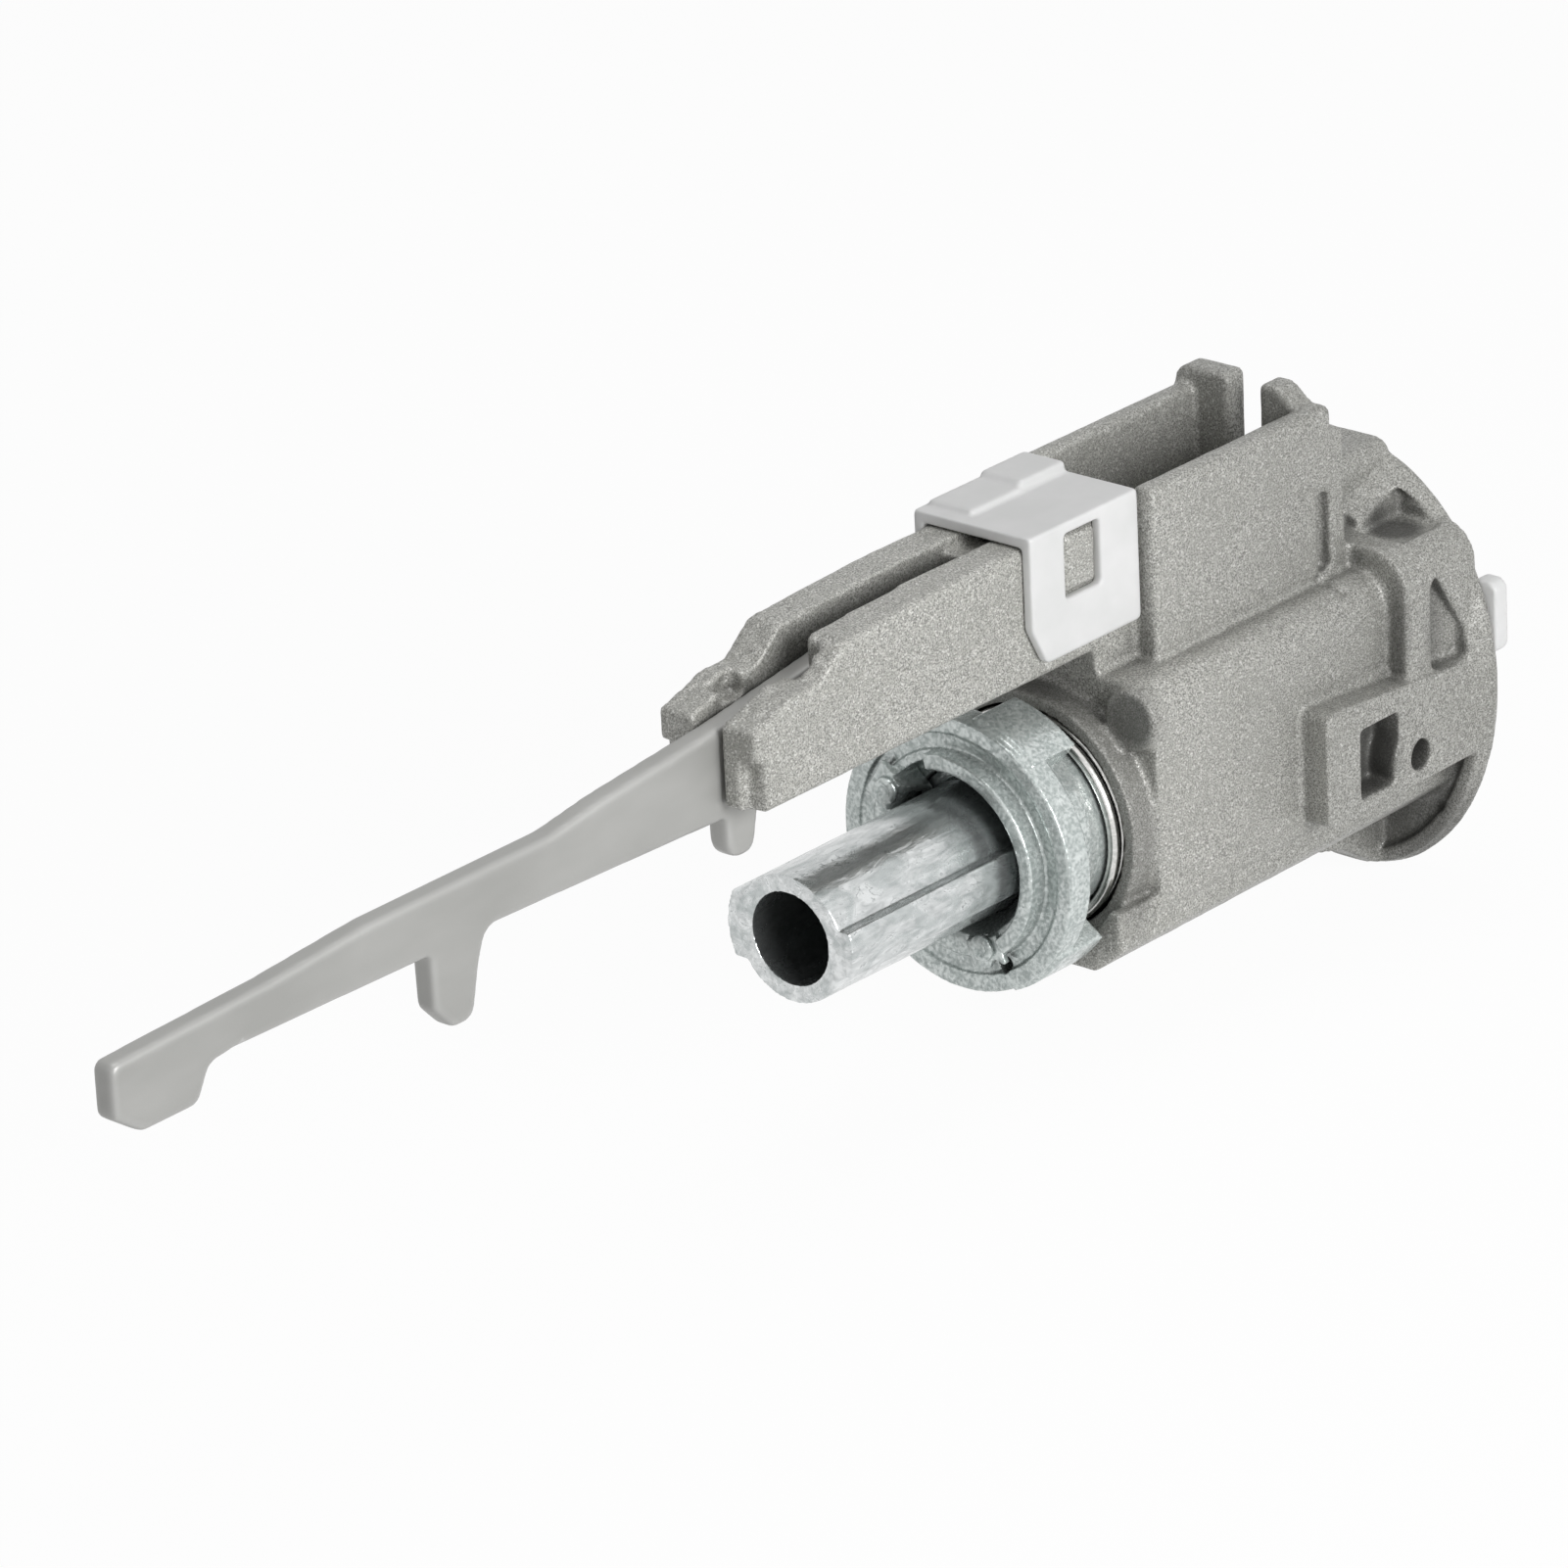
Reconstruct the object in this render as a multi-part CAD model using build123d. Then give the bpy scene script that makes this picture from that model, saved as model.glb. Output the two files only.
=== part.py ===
from build123d import *
from math import atan2, cos, degrees, radians, sin
import os

os.makedirs("parts", exist_ok=True)

# Vehicle door lock cylinder. X runs along the barrel from the tail tube towards the key,
# Z is up, and the origin is the centre of the tail tube's open end.

# Fits
running_clearance = 0.05
loose_clearance = 0.15
assembly_gap = 0.2

# Tail shaft
tube_radius = 5.0
tube_bore_radius = 3.63
tube_draft = 0.2
tube_bore_depth = 20.0
rib_height = 1.0
wide_rib_width = 5.4
narrow_rib_width = 3.6
foot_height = 1.1
foot_thickness = 2.2

# Drive plate
plate_x = 19.0
plate_thickness = 2.4
plate_radius = 10.9
plate_rim_step = 0.8
collar_inner_radius = 7.0
collar_width = 1.2
collar_height = 1.3
plate_groove_width = 1.3
plate_groove_depth = 0.4
collar_start_angle = 76.0
collar_end_angle = 232.0
window_start_angle = 42.0
window_end_angle = 74.0
window_outset = 0.4
tail_play_angle = 6.0
slot_spare_angle = 1.5
vent_hole_radius = 0.65
vent_hole_circle_radius = 9.0
vent_hole_angle = 244.0
lug_outset = 0.3
lug_depth = 3.2
lug_height = 2.2
lug_span_angle = 32.0
lug_angles = (114.0, 231.0)

# Rivets
rivet_angles = (33.0, 248.0)
rivet_circle_radius = 7.2
rivet_head_radius = 1.12
rivet_head_height = 0.45
rivet_shank_radius = 0.7
rivet_bite = 1.0
rivet_pad_size = 3.2
rivet_pad_height = 0.6

# Spring drum and return spring
drum_flange_thickness = 1.4
drum_radius = 7.7
drum_end_wall = 2.5
drum_length = 14.1
drum_shoulder = 1.0
square_width = 7.0
spring_wire_radius = 0.45
spring_turns = 4
spring_pitch = 1.1
spring_drum_gap = 0.12
spring_leg_length = 3.4
spring_hook_length = 1.8
spring_hook_draw = 0.01

# Housing barrel
bore_radius = 8.9
lip_wall = 1.1
rail_gap = 1.4
lip_setback = 1.6
lip_length = 2.8
body_length = 36.4
body_side_wall = 1.2
body_top_wall = 2.6
body_corner_radius = 2.5
rail_top_z = -6.1
rail_inset = 0.35
rail_side_z = -8.2
rail_bottom_z = -10.4
rail_bottom_half_width = 7.0
rail_edge_radius = 0.8
gate_pad_radius = 2.4
gate_pad_y = -8.4
gate_pad_z = 9.0
gate_pad_height = 1.0

# Housing prongs
prong_reach = 30.0
prong_half_width = 4.65
prong_slot_half_width = 1.4
prong_lift = 1.9
prong_height = 10.7
prong_tip_height = 6.4
prong_edge_radius = 0.5
prong_nose_reach = 2.0
prong_nose_height = 0.6
prong_step_reach = 4.6
prong_step_height = 1.5
prong_cheek_reach = 7.2
prong_brow_reach = 10.0
prong_brow_drop = 0.5
prong_shoulder_reach = 22.0
tip_step_height = 4.0
tip_step_depth = 0.9
tip_step_width = 1.75
near_notch_reach = 8.4
far_notch_reach = 4.4
notch_length = 2.6
notch_width = 1.3
near_notch_height = 7.3
far_notch_height = 6.2
bridge_setback = 1.6
bridge_length = 3.6
bridge_height = 1.0
bridge_drop = 0.9

# Lever pivot and rear channel
pivot_setback = 6.0
pivot_height = 5.0
pivot_radius = 1.5
pivot_seat_depth = 1.0
pivot_pocket_half_width = 3.1
pivot_pocket_length = 9.0
channel_floor_z = 14.6
channel_length = 19.4
wall_half_width = 6.7
wall_thickness = 2.0
wall_top_z = 25.1
wall_top_radius = 0.9
post_gap_half_width = 1.5
post_depth = 2.2
post_rise = 1.4
post_shoulder_y = 3.2
post_shoulder_drop = 2.8
post_edge_radius = 1.4
end_length = 3.7
end_drop = 2.1
end_overlap = 1.0
side_slot_width = 1.4
side_slot_depth = 1.1
side_slot_bottom_z = 12.0
side_slot_height = 6.3

# Flange and the collar behind it
flange_half_width = 13.7
flange_half_height = 17.7
flange_z = 0.2
flange_thickness = 1.2
flange_edge_radius = 0.5
flange_back_step = 0.3
cone_length = 5.4
cone_inset = 2.4
collar_block_length = 8.4
collar_block_outset = 2.05
collar_block_rise = 1.8
collar_block_radius = 3.2
ridge_half_width = 4.0
ridge_rise = 7.0
ridge_edge_radius = 1.2
lobe_wall = 1.2
lobe_wall_depth = 0.6
gusset_half_width = 2.9
gusset_length = 18.8
gusset_drop = 6.3
gusset_waist_length = 5.0
gusset_foot_length = 1.0
inner_pocket_setback = 5.8
inner_pocket_length = 5.3
inner_pocket_y = 5.5
inner_pocket_z = 12.9
inner_pocket_width = 4.3
inner_pocket_side_height = 0.5
inner_pocket_height = 2.5
outer_pocket_setback = 5.25
outer_pocket_length = 3.9
outer_pocket_depth = 1.8
outer_pocket_end_depth = 0.8
outer_pocket_z = 3.0
outer_pocket_side_height = 2.6
outer_pocket_height = 7.6

# Hollow side lug
side_lug_length = 19.3
side_lug_outset = 2.7
side_lug_top_z = 4.2
side_lug_end_top_z = 2.6
side_lug_bottom_z = -5.1
side_lug_edge_radius = 0.6
side_window_setback = 4.1
side_window_length = 4.8
side_window_margin = 1.0
side_window_height = 5.7
side_window_depth = 3.2
side_hole_setback = 7.7
side_hole_z = -2.9
side_hole_radius = 1.25
side_hole_depth = 2.6
side_hole_boss_wall = 2.15

# Lever arm
lever_length = 97.9
lever_thickness = 2.0
lever_edge_radius = 0.4
lever_eye_radius = 3.2
lever_tip_drop = 7.4
lever_tip_height = 4.0
lever_foot_height = 1.8
lever_hook_drop = 12.9
lever_hook_width = 4.9
lever_hook_reach = 31.4
lever_tab_drop = 10.8
lever_tab_width = 3.5
lever_tab_reach = 62.6

# Retaining clip
clip_setback = 0.8
clip_length = 12.7
clip_wall = 0.9
clip_gap = 0.03
clip_end_gap = 0.1
clip_leg_length = 10.3
clip_leg_taper = 1.6
clip_leg_corner = 3.0
clip_window_setback = 4.0
clip_window_length = 4.1
clip_window_drop = 0.9
clip_window_height = 5.1
snap_lug_margin = 0.35
snap_lug_height = 0.75
clip_pad_length = 5.4
clip_pad_width = 4.4
clip_pad_height = 0.8
low_pad_setback = 1.4
low_pad_length = 5.9
low_pad_width = 4.2
low_pad_height = 0.4

# Lock sleeve and key plug
sleeve_setback = 1.5
sleeve_end_setback = 1.4
sleeve_pin_setback = 8.0
sleeve_pin_radius = 1.0
sleeve_pin_bite = 1.2
plug_radius = 6.4
plug_head_radius = 7.4
plug_head_length = 4.0
plug_shoulder_height = 1.8
neck_radius = 3.3
neck_length = 3.2
circlip_radius = 5.2
circlip_thickness = 0.8
circlip_groove_depth = 0.6
circlip_gap = 3.2

# Key slot and wafers
key_slot_width = 2.6
key_slot_height = 8.8
wafer_count = 6
wafer_setback = 6.0
wafer_end_setback = 5.4
wafer_thickness = 1.0
wafer_width = 5.6
wafer_travel = 0.6
wafer_slot_clearance = 0.06
wafer_window_clearance = 0.2
wafer_window_inset = 0.8
ear_length = 1.7
ear_height = 1.2
ear_z = 2.6
wafer_spring_radius = 0.6
wafer_spring_wire = 0.25
wafer_spring_side_gap = 0.15
wafer_spring_turns = 6
wafer_spring_length = 4.6
locking_groove_depth = 1.3
locking_groove_clearance = 0.3

# Dust shutter and front pieces
shutter_width = 3.6
shutter_height = 9.8
shutter_thickness = 0.5
shutter_depth = 0.7
shutter_overlap = 1.05
shutter_pocket_depth = 5.6
shutter_pocket_clearance = 0.3
shutter_pin_radius = 0.45
shutter_pin_bite = 0.7
shutter_knuckle_wall = 0.4
shutter_knuckle_height = 5.2
shutter_notch_reach = 1.3
shutter_spring_wire = 0.22
shutter_spring_turns = 3
shutter_spring_length = 1.9
shutter_spring_gap = 0.1
cap_thickness = 0.5
cap_slot_margin = 0.35
gasket_thickness = 0.8
gasket_inset = 1.6
gasket_tab_z = 5.4
gasket_tab_height = 6.0
gasket_tab_reach = 1.3
gasket_tab_thickness = 1.6
gasket_tab_radius = 0.9
front_thickness = 1.2
front_inset = 2.4
front_edge_radius = 0.8
front_bore_clearance = 0.3


# Places along the barrel, from the tail to the key
plate_back_x = plate_x + plate_thickness
foot_x = plate_back_x + loose_clearance
root_x = foot_x + foot_thickness
drum_shoulder_x = root_x + loose_clearance
drum_flange_end_x = plate_back_x + drum_flange_thickness
drum_end_x = plate_back_x + drum_length
drum_wall_x = drum_end_x - drum_end_wall
rail_x = plate_back_x + lug_depth + rail_gap
lip_x = rail_x + lip_setback
body_x = lip_x + lip_length
flange_x = body_x + body_length
flange_front_x = flange_x + flange_thickness
spring_x = lip_x - spring_wire_radius - loose_clearance
clip_x = plate_back_x + clip_setback
clip_end_x = clip_x + clip_length
clip_window_x = clip_x + clip_window_setback
pivot_x = clip_x + pivot_setback
prong_tip_x = clip_x - prong_reach
bridge_x = clip_x - bridge_setback
wall_x = clip_end_x + assembly_gap
post_x = wall_x + channel_length
wall_end_x = post_x + end_length
collar_block_x = flange_x - collar_block_length
cone_x = flange_x - cone_length
inner_pocket_x = flange_x - inner_pocket_setback
outer_pocket_x = flange_x - outer_pocket_setback
outer_pocket_end_x = outer_pocket_x + outer_pocket_length
side_lug_x = flange_x - side_lug_length
side_window_x = side_lug_x + side_window_setback
side_hole_x = flange_x - side_hole_setback
sleeve_x = drum_end_x + sleeve_setback
sleeve_end_x = flange_x - sleeve_end_setback
sleeve_pin_x = sleeve_x + sleeve_pin_setback
plug_start_x = drum_end_x + loose_clearance
plug_head_x = sleeve_end_x + assembly_gap
plug_front_x = plug_head_x + plug_head_length
wafer_pitch = (sleeve_end_x - sleeve_x - wafer_setback - wafer_end_setback) / (wafer_count - 1)
wafer_xs = [sleeve_x + wafer_setback + wafer_pitch * i for i in range(wafer_count)]
gasket_x = flange_front_x
front_x = gasket_x + gasket_thickness
front_end_x = front_x + front_thickness

# Widths, heights and radii that follow
rib_radius = tube_radius + rib_height
foot_radius = tube_radius + foot_height
hub_hole_radius = tube_radius + tube_draft + loose_clearance
lug_radius = plate_radius + lug_outset
drum_flange_radius = lug_radius - lug_height - loose_clearance
drum_inner_radius = foot_radius + loose_clearance
spring_radius = drum_radius + spring_drum_gap + spring_wire_radius
lip_radius = bore_radius + lip_wall
body_half_width = bore_radius + body_side_wall
body_top_z = bore_radius + body_top_wall
body_foot_z = body_top_z - body_corner_radius
prong_bottom_z = body_top_z + prong_lift
prong_top_z = prong_bottom_z + prong_height
pivot_z = channel_floor_z + pivot_height
post_top_z = wall_top_z + post_rise
wall_inner_y = wall_half_width - wall_thickness
clip_inner_y = prong_half_width + clip_gap
clip_outer_y = clip_inner_y + clip_wall
clip_roof_z = prong_top_z + loose_clearance
clip_top_z = clip_roof_z + clip_wall
clip_leg_bottom_z = clip_top_z - clip_leg_length
clip_window_top_z = clip_top_z - clip_window_drop
clip_window_bottom_z = clip_window_top_z - clip_window_height
side_lug_y = body_half_width + side_lug_outset
collar_block_y = body_half_width + collar_block_outset
sleeve_radius = bore_radius - running_clearance
wafer_spring_y = (wafer_width + ear_length) / 2 + wafer_spring_side_gap
shutter_pin_y = key_slot_width / 2 + shutter_overlap
shutter_knuckle_radius = shutter_pin_radius + shutter_knuckle_wall
shutter_face_x = plug_front_x - shutter_depth
shutter_pin_x = shutter_face_x - shutter_knuckle_radius
front_bore_radius = plug_head_radius + front_bore_clearance


def box(x0, x1, y0, y1, z0, z1):
    """Block between two corners."""
    return Pos((x0 + x1) / 2, (y0 + y1) / 2, (z0 + z1) / 2) * Box(x1 - x0, y1 - y0, z1 - z0)


def rod(x0, x1, radius, y=0.0, z=0.0):
    """Cylinder along X."""
    return Pos((x0 + x1) / 2, y, z) * (Rot(0, 90, 0) * Cylinder(radius, x1 - x0))


def cross_rod(y0, y1, radius, x, z):
    """Cylinder along Y."""
    return Pos(x, (y0 + y1) / 2, z) * (Rot(90, 0, 0) * Cylinder(radius, y1 - y0))


def tube(x0, x1, outer, inner):
    """Round tube along X."""
    return rod(x0, x1, outer) - rod(x0 - 1, x1 + 1, inner)


def slab(corners, y0, y1):
    """Slab along Y from an outline of (x, z, corner radius)."""
    line = FilletPolyline([(x, z) for x, z, _ in corners], radius=[r for _, _, r in corners], close=True)
    return extrude(Plane.XZ.offset(-y1) * make_face(line), amount=y1 - y0)


def bar(corners, x0, x1):
    """Bar along X from a section of (y, z, corner radius)."""
    line = FilletPolyline([(y, z) for y, z, _ in corners], radius=[r for _, _, r in corners], close=True)
    return extrude(Plane.YZ.offset(x0) * make_face(line), amount=x1 - x0)


def mirrored(corners):
    """Closed section from its +Y half, listed from the bottom up."""
    return corners + [(-y, z, r) for y, z, r in reversed(corners)]


def sector(x0, x1, radius, start, end):
    """Wedge of a cylinder along X between two angles, turned from +Y towards +Z."""
    steps = 8
    reach = 1.2 * radius
    angles = [radians(start + (end - start) * i / steps) for i in range(steps + 1)]
    fan = [(0, 0)] + [(reach * cos(a), reach * sin(a)) for a in angles]
    wedge = extrude(Plane.YZ.offset(x0) * make_face(Polyline(fan, close=True)), amount=x1 - x0)
    return wedge & rod(x0, x1, radius)


def flange_oval(x0, x1, inset):
    """Slab with the flange's oval, drawn in by an inset."""
    oval = Pos(0, flange_z, 0) * Ellipse(flange_half_width - inset, flange_half_height - inset)
    return extrude(Plane.YZ.offset(x0) * oval, amount=x1 - x0)


def coil(radius, wire, pitch, turns, direction):
    """Helical wire from the origin along a direction."""
    path = Helix(pitch, pitch * turns, radius, direction=direction)
    return sweep((path ^ 0) * Circle(wire), path, is_frenet=True)


def both_sides(shape):
    """The shape and its mirror image across the barrel's middle plane."""
    return shape + mirror(shape, Plane.XZ)


def make_tail_shaft():
    """Hollow output shaft with two ribs and a foot that the drum holds."""
    cone = Cone(tube_radius, tube_radius + tube_draft, root_x)
    shaft = Pos(root_x / 2, 0, 0) * (Rot(0, 90, 0) * cone)
    ribs = box(0, root_x, 0, rib_radius, -wide_rib_width / 2, wide_rib_width / 2)
    ribs += box(0, root_x, -rib_radius, 0, -narrow_rib_width / 2, narrow_rib_width / 2)
    shaft += (ribs & rod(0, root_x, rib_radius)) + rod(foot_x, root_x, foot_radius)
    return shaft - rod(-1, tube_bore_depth, tube_bore_radius)


def make_drive_plate():
    """Riveted plate with a part collar, slots for the ribs, a window and two lugs bent back."""
    plate = rod(plate_x, plate_back_x, plate_radius)
    mouth_x = plate_x - collar_height
    collar_radius = collar_inner_radius + collar_width
    collar = tube(mouth_x, plate_x, collar_radius, collar_inner_radius)
    collar = collar & sector(mouth_x, plate_x, collar_radius, collar_start_angle, collar_end_angle)
    plate -= tube(plate_x - 1, plate_x + plate_groove_depth, collar_radius + plate_groove_width,
                  collar_radius)
    plate += collar
    for angle in rivet_angles:
        pad = box(plate_x - rivet_pad_height, plate_x, -rivet_pad_size / 2, rivet_pad_size / 2,
                  -rivet_pad_size / 2, rivet_pad_size / 2)
        plate += Rot(angle, 0, 0) * (Pos(0, rivet_circle_radius, 0) * pad)
    for angle in lug_angles:
        lug = sector(plate_x + plate_rim_step, plate_back_x + lug_depth, lug_radius,
                     angle - lug_span_angle / 2, angle + lug_span_angle / 2)
        plate += lug - rod(plate_x, plate_back_x + lug_depth + 1, lug_radius - lug_height)
    depth = plate_back_x - mouth_x
    dish = Pos(mouth_x + depth / 2, 0, 0) * (Rot(0, 90, 0) * Cone(collar_inner_radius, hub_hole_radius, depth))
    plate -= dish + rod(mouth_x - 1, plate_back_x + 1, hub_hole_radius)
    for angle, width in ((0, wide_rib_width), (180, narrow_rib_width)):
        half_angle = degrees(atan2(width / 2, tube_radius)) + tail_play_angle + slot_spare_angle
        plate -= sector(mouth_x - 1, plate_back_x + 1, rib_radius + loose_clearance,
                        angle - half_angle, angle + half_angle)
    plate -= sector(mouth_x - 1, plate_back_x + 1, collar_inner_radius + window_outset,
                    window_start_angle, window_end_angle)
    vent = rod(mouth_x, plate_back_x + 1, vent_hole_radius, y=vent_hole_circle_radius)
    plate -= Rot(vent_hole_angle, 0, 0) * vent
    for angle in rivet_angles:
        plate -= Rot(angle, 0, 0) * rod(mouth_x, plate_back_x + 1, rivet_shank_radius, y=rivet_circle_radius)
    return plate


def make_spring_drum():
    """Hollow drum that holds the tail's foot, carries the spring and takes the plug's square."""
    drum = rod(plate_back_x, drum_flange_end_x, drum_flange_radius)
    drum += rod(plate_back_x, drum_end_x, drum_radius)
    drum -= rod(plate_back_x - 1, drum_shoulder_x, drum_inner_radius)
    drum -= rod(plate_back_x, drum_wall_x, drum_inner_radius - drum_shoulder)
    half = square_width / 2 + running_clearance
    drum -= box(drum_wall_x - 1, drum_end_x + 1, -half, half, -half, half)
    for angle in rivet_angles:
        hole = rod(plate_back_x - 1, drum_flange_end_x + rivet_bite, rivet_shank_radius, y=rivet_circle_radius)
        drum -= Rot(angle, 0, 0) * hole
    return drum


def make_rivets():
    """Peened rivets that join the plate to the drum's flange."""
    head_x = plate_x - rivet_pad_height
    rivets = []
    for angle in rivet_angles:
        rivet = rod(head_x - rivet_head_height, head_x, rivet_head_radius, y=rivet_circle_radius)
        rivet = chamfer(rivet.edges().group_by(Axis.X)[0], rivet_head_height / 2)
        rivet += rod(head_x, drum_flange_end_x + rivet_bite, rivet_shank_radius, y=rivet_circle_radius)
        rivets.append(Rot(angle, 0, 0) * rivet)
    return Compound(rivets)


def spring_hook_hole():
    """Radial hole in the housing's mouth for the return spring's end."""
    x = spring_x + spring_pitch * spring_turns
    return Pos(x, 0, bore_radius) * Cylinder(spring_wire_radius + loose_clearance, 2 * spring_hook_length)


def make_return_spring():
    """Torsion spring wound round the drum, with a straight leg and a hooked end."""
    spring = coil(spring_radius, spring_wire_radius, spring_pitch, spring_turns, (1, 0, 0))
    end_x = spring_pitch * spring_turns
    leg = rod(-spring_leg_length, 0, spring_wire_radius, z=spring_radius)
    hook_z = spring_radius - spring_wire_radius / 2
    hook = Cylinder(spring_wire_radius - spring_hook_draw, spring_hook_length)
    spring += leg
    spring += Pos(end_x, 0, hook_z + spring_hook_length / 2) * hook
    return Pos(spring_x, 0, 0) * spring


def make_prongs():
    """Two prongs on one block, with the lever's slot, the bridge and the pivot's pocket."""
    tip_z = prong_bottom_z + prong_tip_height
    corner = prong_edge_radius
    block = slab([
        (prong_tip_x, prong_bottom_z, corner),
        (wall_x + 1, prong_bottom_z, 0),
        (wall_x + 1, prong_top_z, 0),
        (prong_tip_x + prong_shoulder_reach, prong_top_z, 12 * corner),
        (prong_tip_x + prong_brow_reach, prong_top_z - prong_brow_drop, 3 * corner),
        (prong_tip_x + prong_cheek_reach, tip_z + prong_step_height, 1.6 * corner),
        (prong_tip_x + prong_step_reach, tip_z + prong_step_height, 1.6 * corner),
        (prong_tip_x + prong_nose_reach, tip_z + prong_nose_height, 2 * corner),
        (prong_tip_x, tip_z, corner),
    ], -prong_half_width, prong_half_width)
    long_edges = block.edges().filter_by(GeomType.LINE).filter_by(Axis.X)
    low_edges = long_edges.filter_by(lambda edge: abs(edge.center().Z - prong_bottom_z) < 0.01)
    block = fillet(low_edges, prong_edge_radius)
    block -= box(prong_tip_x - 1, pivot_x, -prong_slot_half_width, prong_slot_half_width,
                 prong_bottom_z - 1, prong_top_z + 1)
    block -= box(pivot_x - pivot_pocket_length / 2, wall_x + 2, -pivot_pocket_half_width,
                 pivot_pocket_half_width, channel_floor_z, prong_top_z + 1)
    step = box(prong_tip_x - 1, prong_tip_x + tip_step_depth, prong_half_width - tip_step_width,
               prong_half_width + 1, prong_bottom_z - 1, prong_bottom_z + tip_step_height)
    block -= both_sides(step)
    reach = prong_slot_half_width + notch_width
    near_x = prong_tip_x + near_notch_reach
    far_x = prong_tip_x + far_notch_reach
    block -= box(near_x - notch_length / 2, near_x + notch_length / 2, -reach, 0,
                 prong_bottom_z + near_notch_height, prong_top_z + 1)
    block -= box(far_x - notch_length / 2, far_x + notch_length / 2, 0, reach,
                 prong_bottom_z + far_notch_height, prong_top_z + 1)
    bridge_top_z = prong_top_z - bridge_drop
    bridge = box(bridge_x, bridge_x + bridge_length, -prong_slot_half_width - 0.5,
                 prong_slot_half_width + 0.5, bridge_top_z - bridge_height, bridge_top_z)
    return block + bridge


def make_walls():
    """Two tall walls of the rear channel, closed at its end by two posts with a gap."""
    wall = bar([
        (wall_inner_y, body_foot_z, 0),
        (wall_half_width, body_foot_z, 0),
        (wall_half_width, wall_top_z, wall_top_radius),
        (wall_inner_y, wall_top_z, 0.6),
    ], wall_x, post_x + post_depth)
    slot_x = post_x + 0.4
    slot = box(slot_x, slot_x + side_slot_width, wall_half_width - side_slot_depth,
               wall_half_width + 1, side_slot_bottom_z, side_slot_bottom_z + side_slot_height)
    end = bar([
        (wall_inner_y - end_overlap, body_foot_z, 0),
        (wall_half_width, body_foot_z, 0),
        (wall_half_width, wall_top_z - end_drop, 0.8),
        (wall_inner_y - end_overlap, wall_top_z - end_drop, 0.8),
    ], post_x, wall_end_x)
    far_post = bar([
        (post_gap_half_width, body_foot_z, 0),
        (wall_half_width, body_foot_z, 0),
        (wall_half_width, post_top_z, post_edge_radius),
        (post_gap_half_width, post_top_z, 0.6),
    ], post_x, post_x + post_depth)
    near_post = bar([
        (-wall_half_width, body_foot_z, 0),
        (-post_gap_half_width, body_foot_z, 0),
        (-post_gap_half_width, post_top_z, 0.6),
        (-post_shoulder_y, post_top_z, post_edge_radius),
        (-wall_half_width, post_top_z - post_shoulder_drop, post_edge_radius),
    ], post_x, post_x + post_depth)
    return both_sides(wall + end) + far_post + near_post - both_sides(slot)


def make_barrel():
    """Barrel block with its keel rail, the mouth's lip and the round pad at the casting's gate."""
    body = bar(mirrored([
        (body_half_width, rail_top_z, 0),
        (body_half_width, body_top_z, body_corner_radius),
    ]), body_x, flange_x)
    rail_half = body_half_width - rail_inset
    rail = bar(mirrored([
        (rail_bottom_half_width, rail_bottom_z, rail_edge_radius),
        (rail_half, rail_side_z, rail_edge_radius),
        (rail_half, rail_top_z + 1, 0),
    ]), rail_x, flange_x)
    rail -= rod(rail_x - 1, body_x, lip_radius)
    gate_pad = rod(body_x - gate_pad_height, body_x + 1, gate_pad_radius, y=gate_pad_y, z=gate_pad_z)
    return body + rail + rod(lip_x, body_x + 1, lip_radius) + gate_pad


def make_pockets():
    """Core pockets in the flange's back: deep ones beside the ridge and a sloping one by the near rim."""
    inner = bar([
        (inner_pocket_y, inner_pocket_z, 0),
        (inner_pocket_y + inner_pocket_width, inner_pocket_z, 0),
        (inner_pocket_y + inner_pocket_width, inner_pocket_z + inner_pocket_side_height, 0),
        (inner_pocket_y, inner_pocket_z + inner_pocket_height, 0),
    ], inner_pocket_x, inner_pocket_x + inner_pocket_length)
    floor_y = collar_block_y - outer_pocket_depth
    outer = slab([
        (outer_pocket_x, outer_pocket_z, 0),
        (outer_pocket_end_x, outer_pocket_z, 0),
        (outer_pocket_end_x, outer_pocket_z + outer_pocket_side_height, 0),
        (outer_pocket_x + 0.2 * outer_pocket_length, outer_pocket_z + outer_pocket_height, 0),
        (outer_pocket_x, outer_pocket_z + 0.9 * outer_pocket_height, 0),
    ], floor_y, flange_half_width)
    slope = make_face(Polyline([(outer_pocket_x, floor_y), (outer_pocket_end_x, floor_y),
                                (outer_pocket_end_x, collar_block_y - outer_pocket_end_depth)], close=True))
    outer -= extrude(Plane.XY.offset(outer_pocket_z - 1) * slope, amount=outer_pocket_height + 2)
    return both_sides(inner) + mirror(outer, Plane.XZ)


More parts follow.
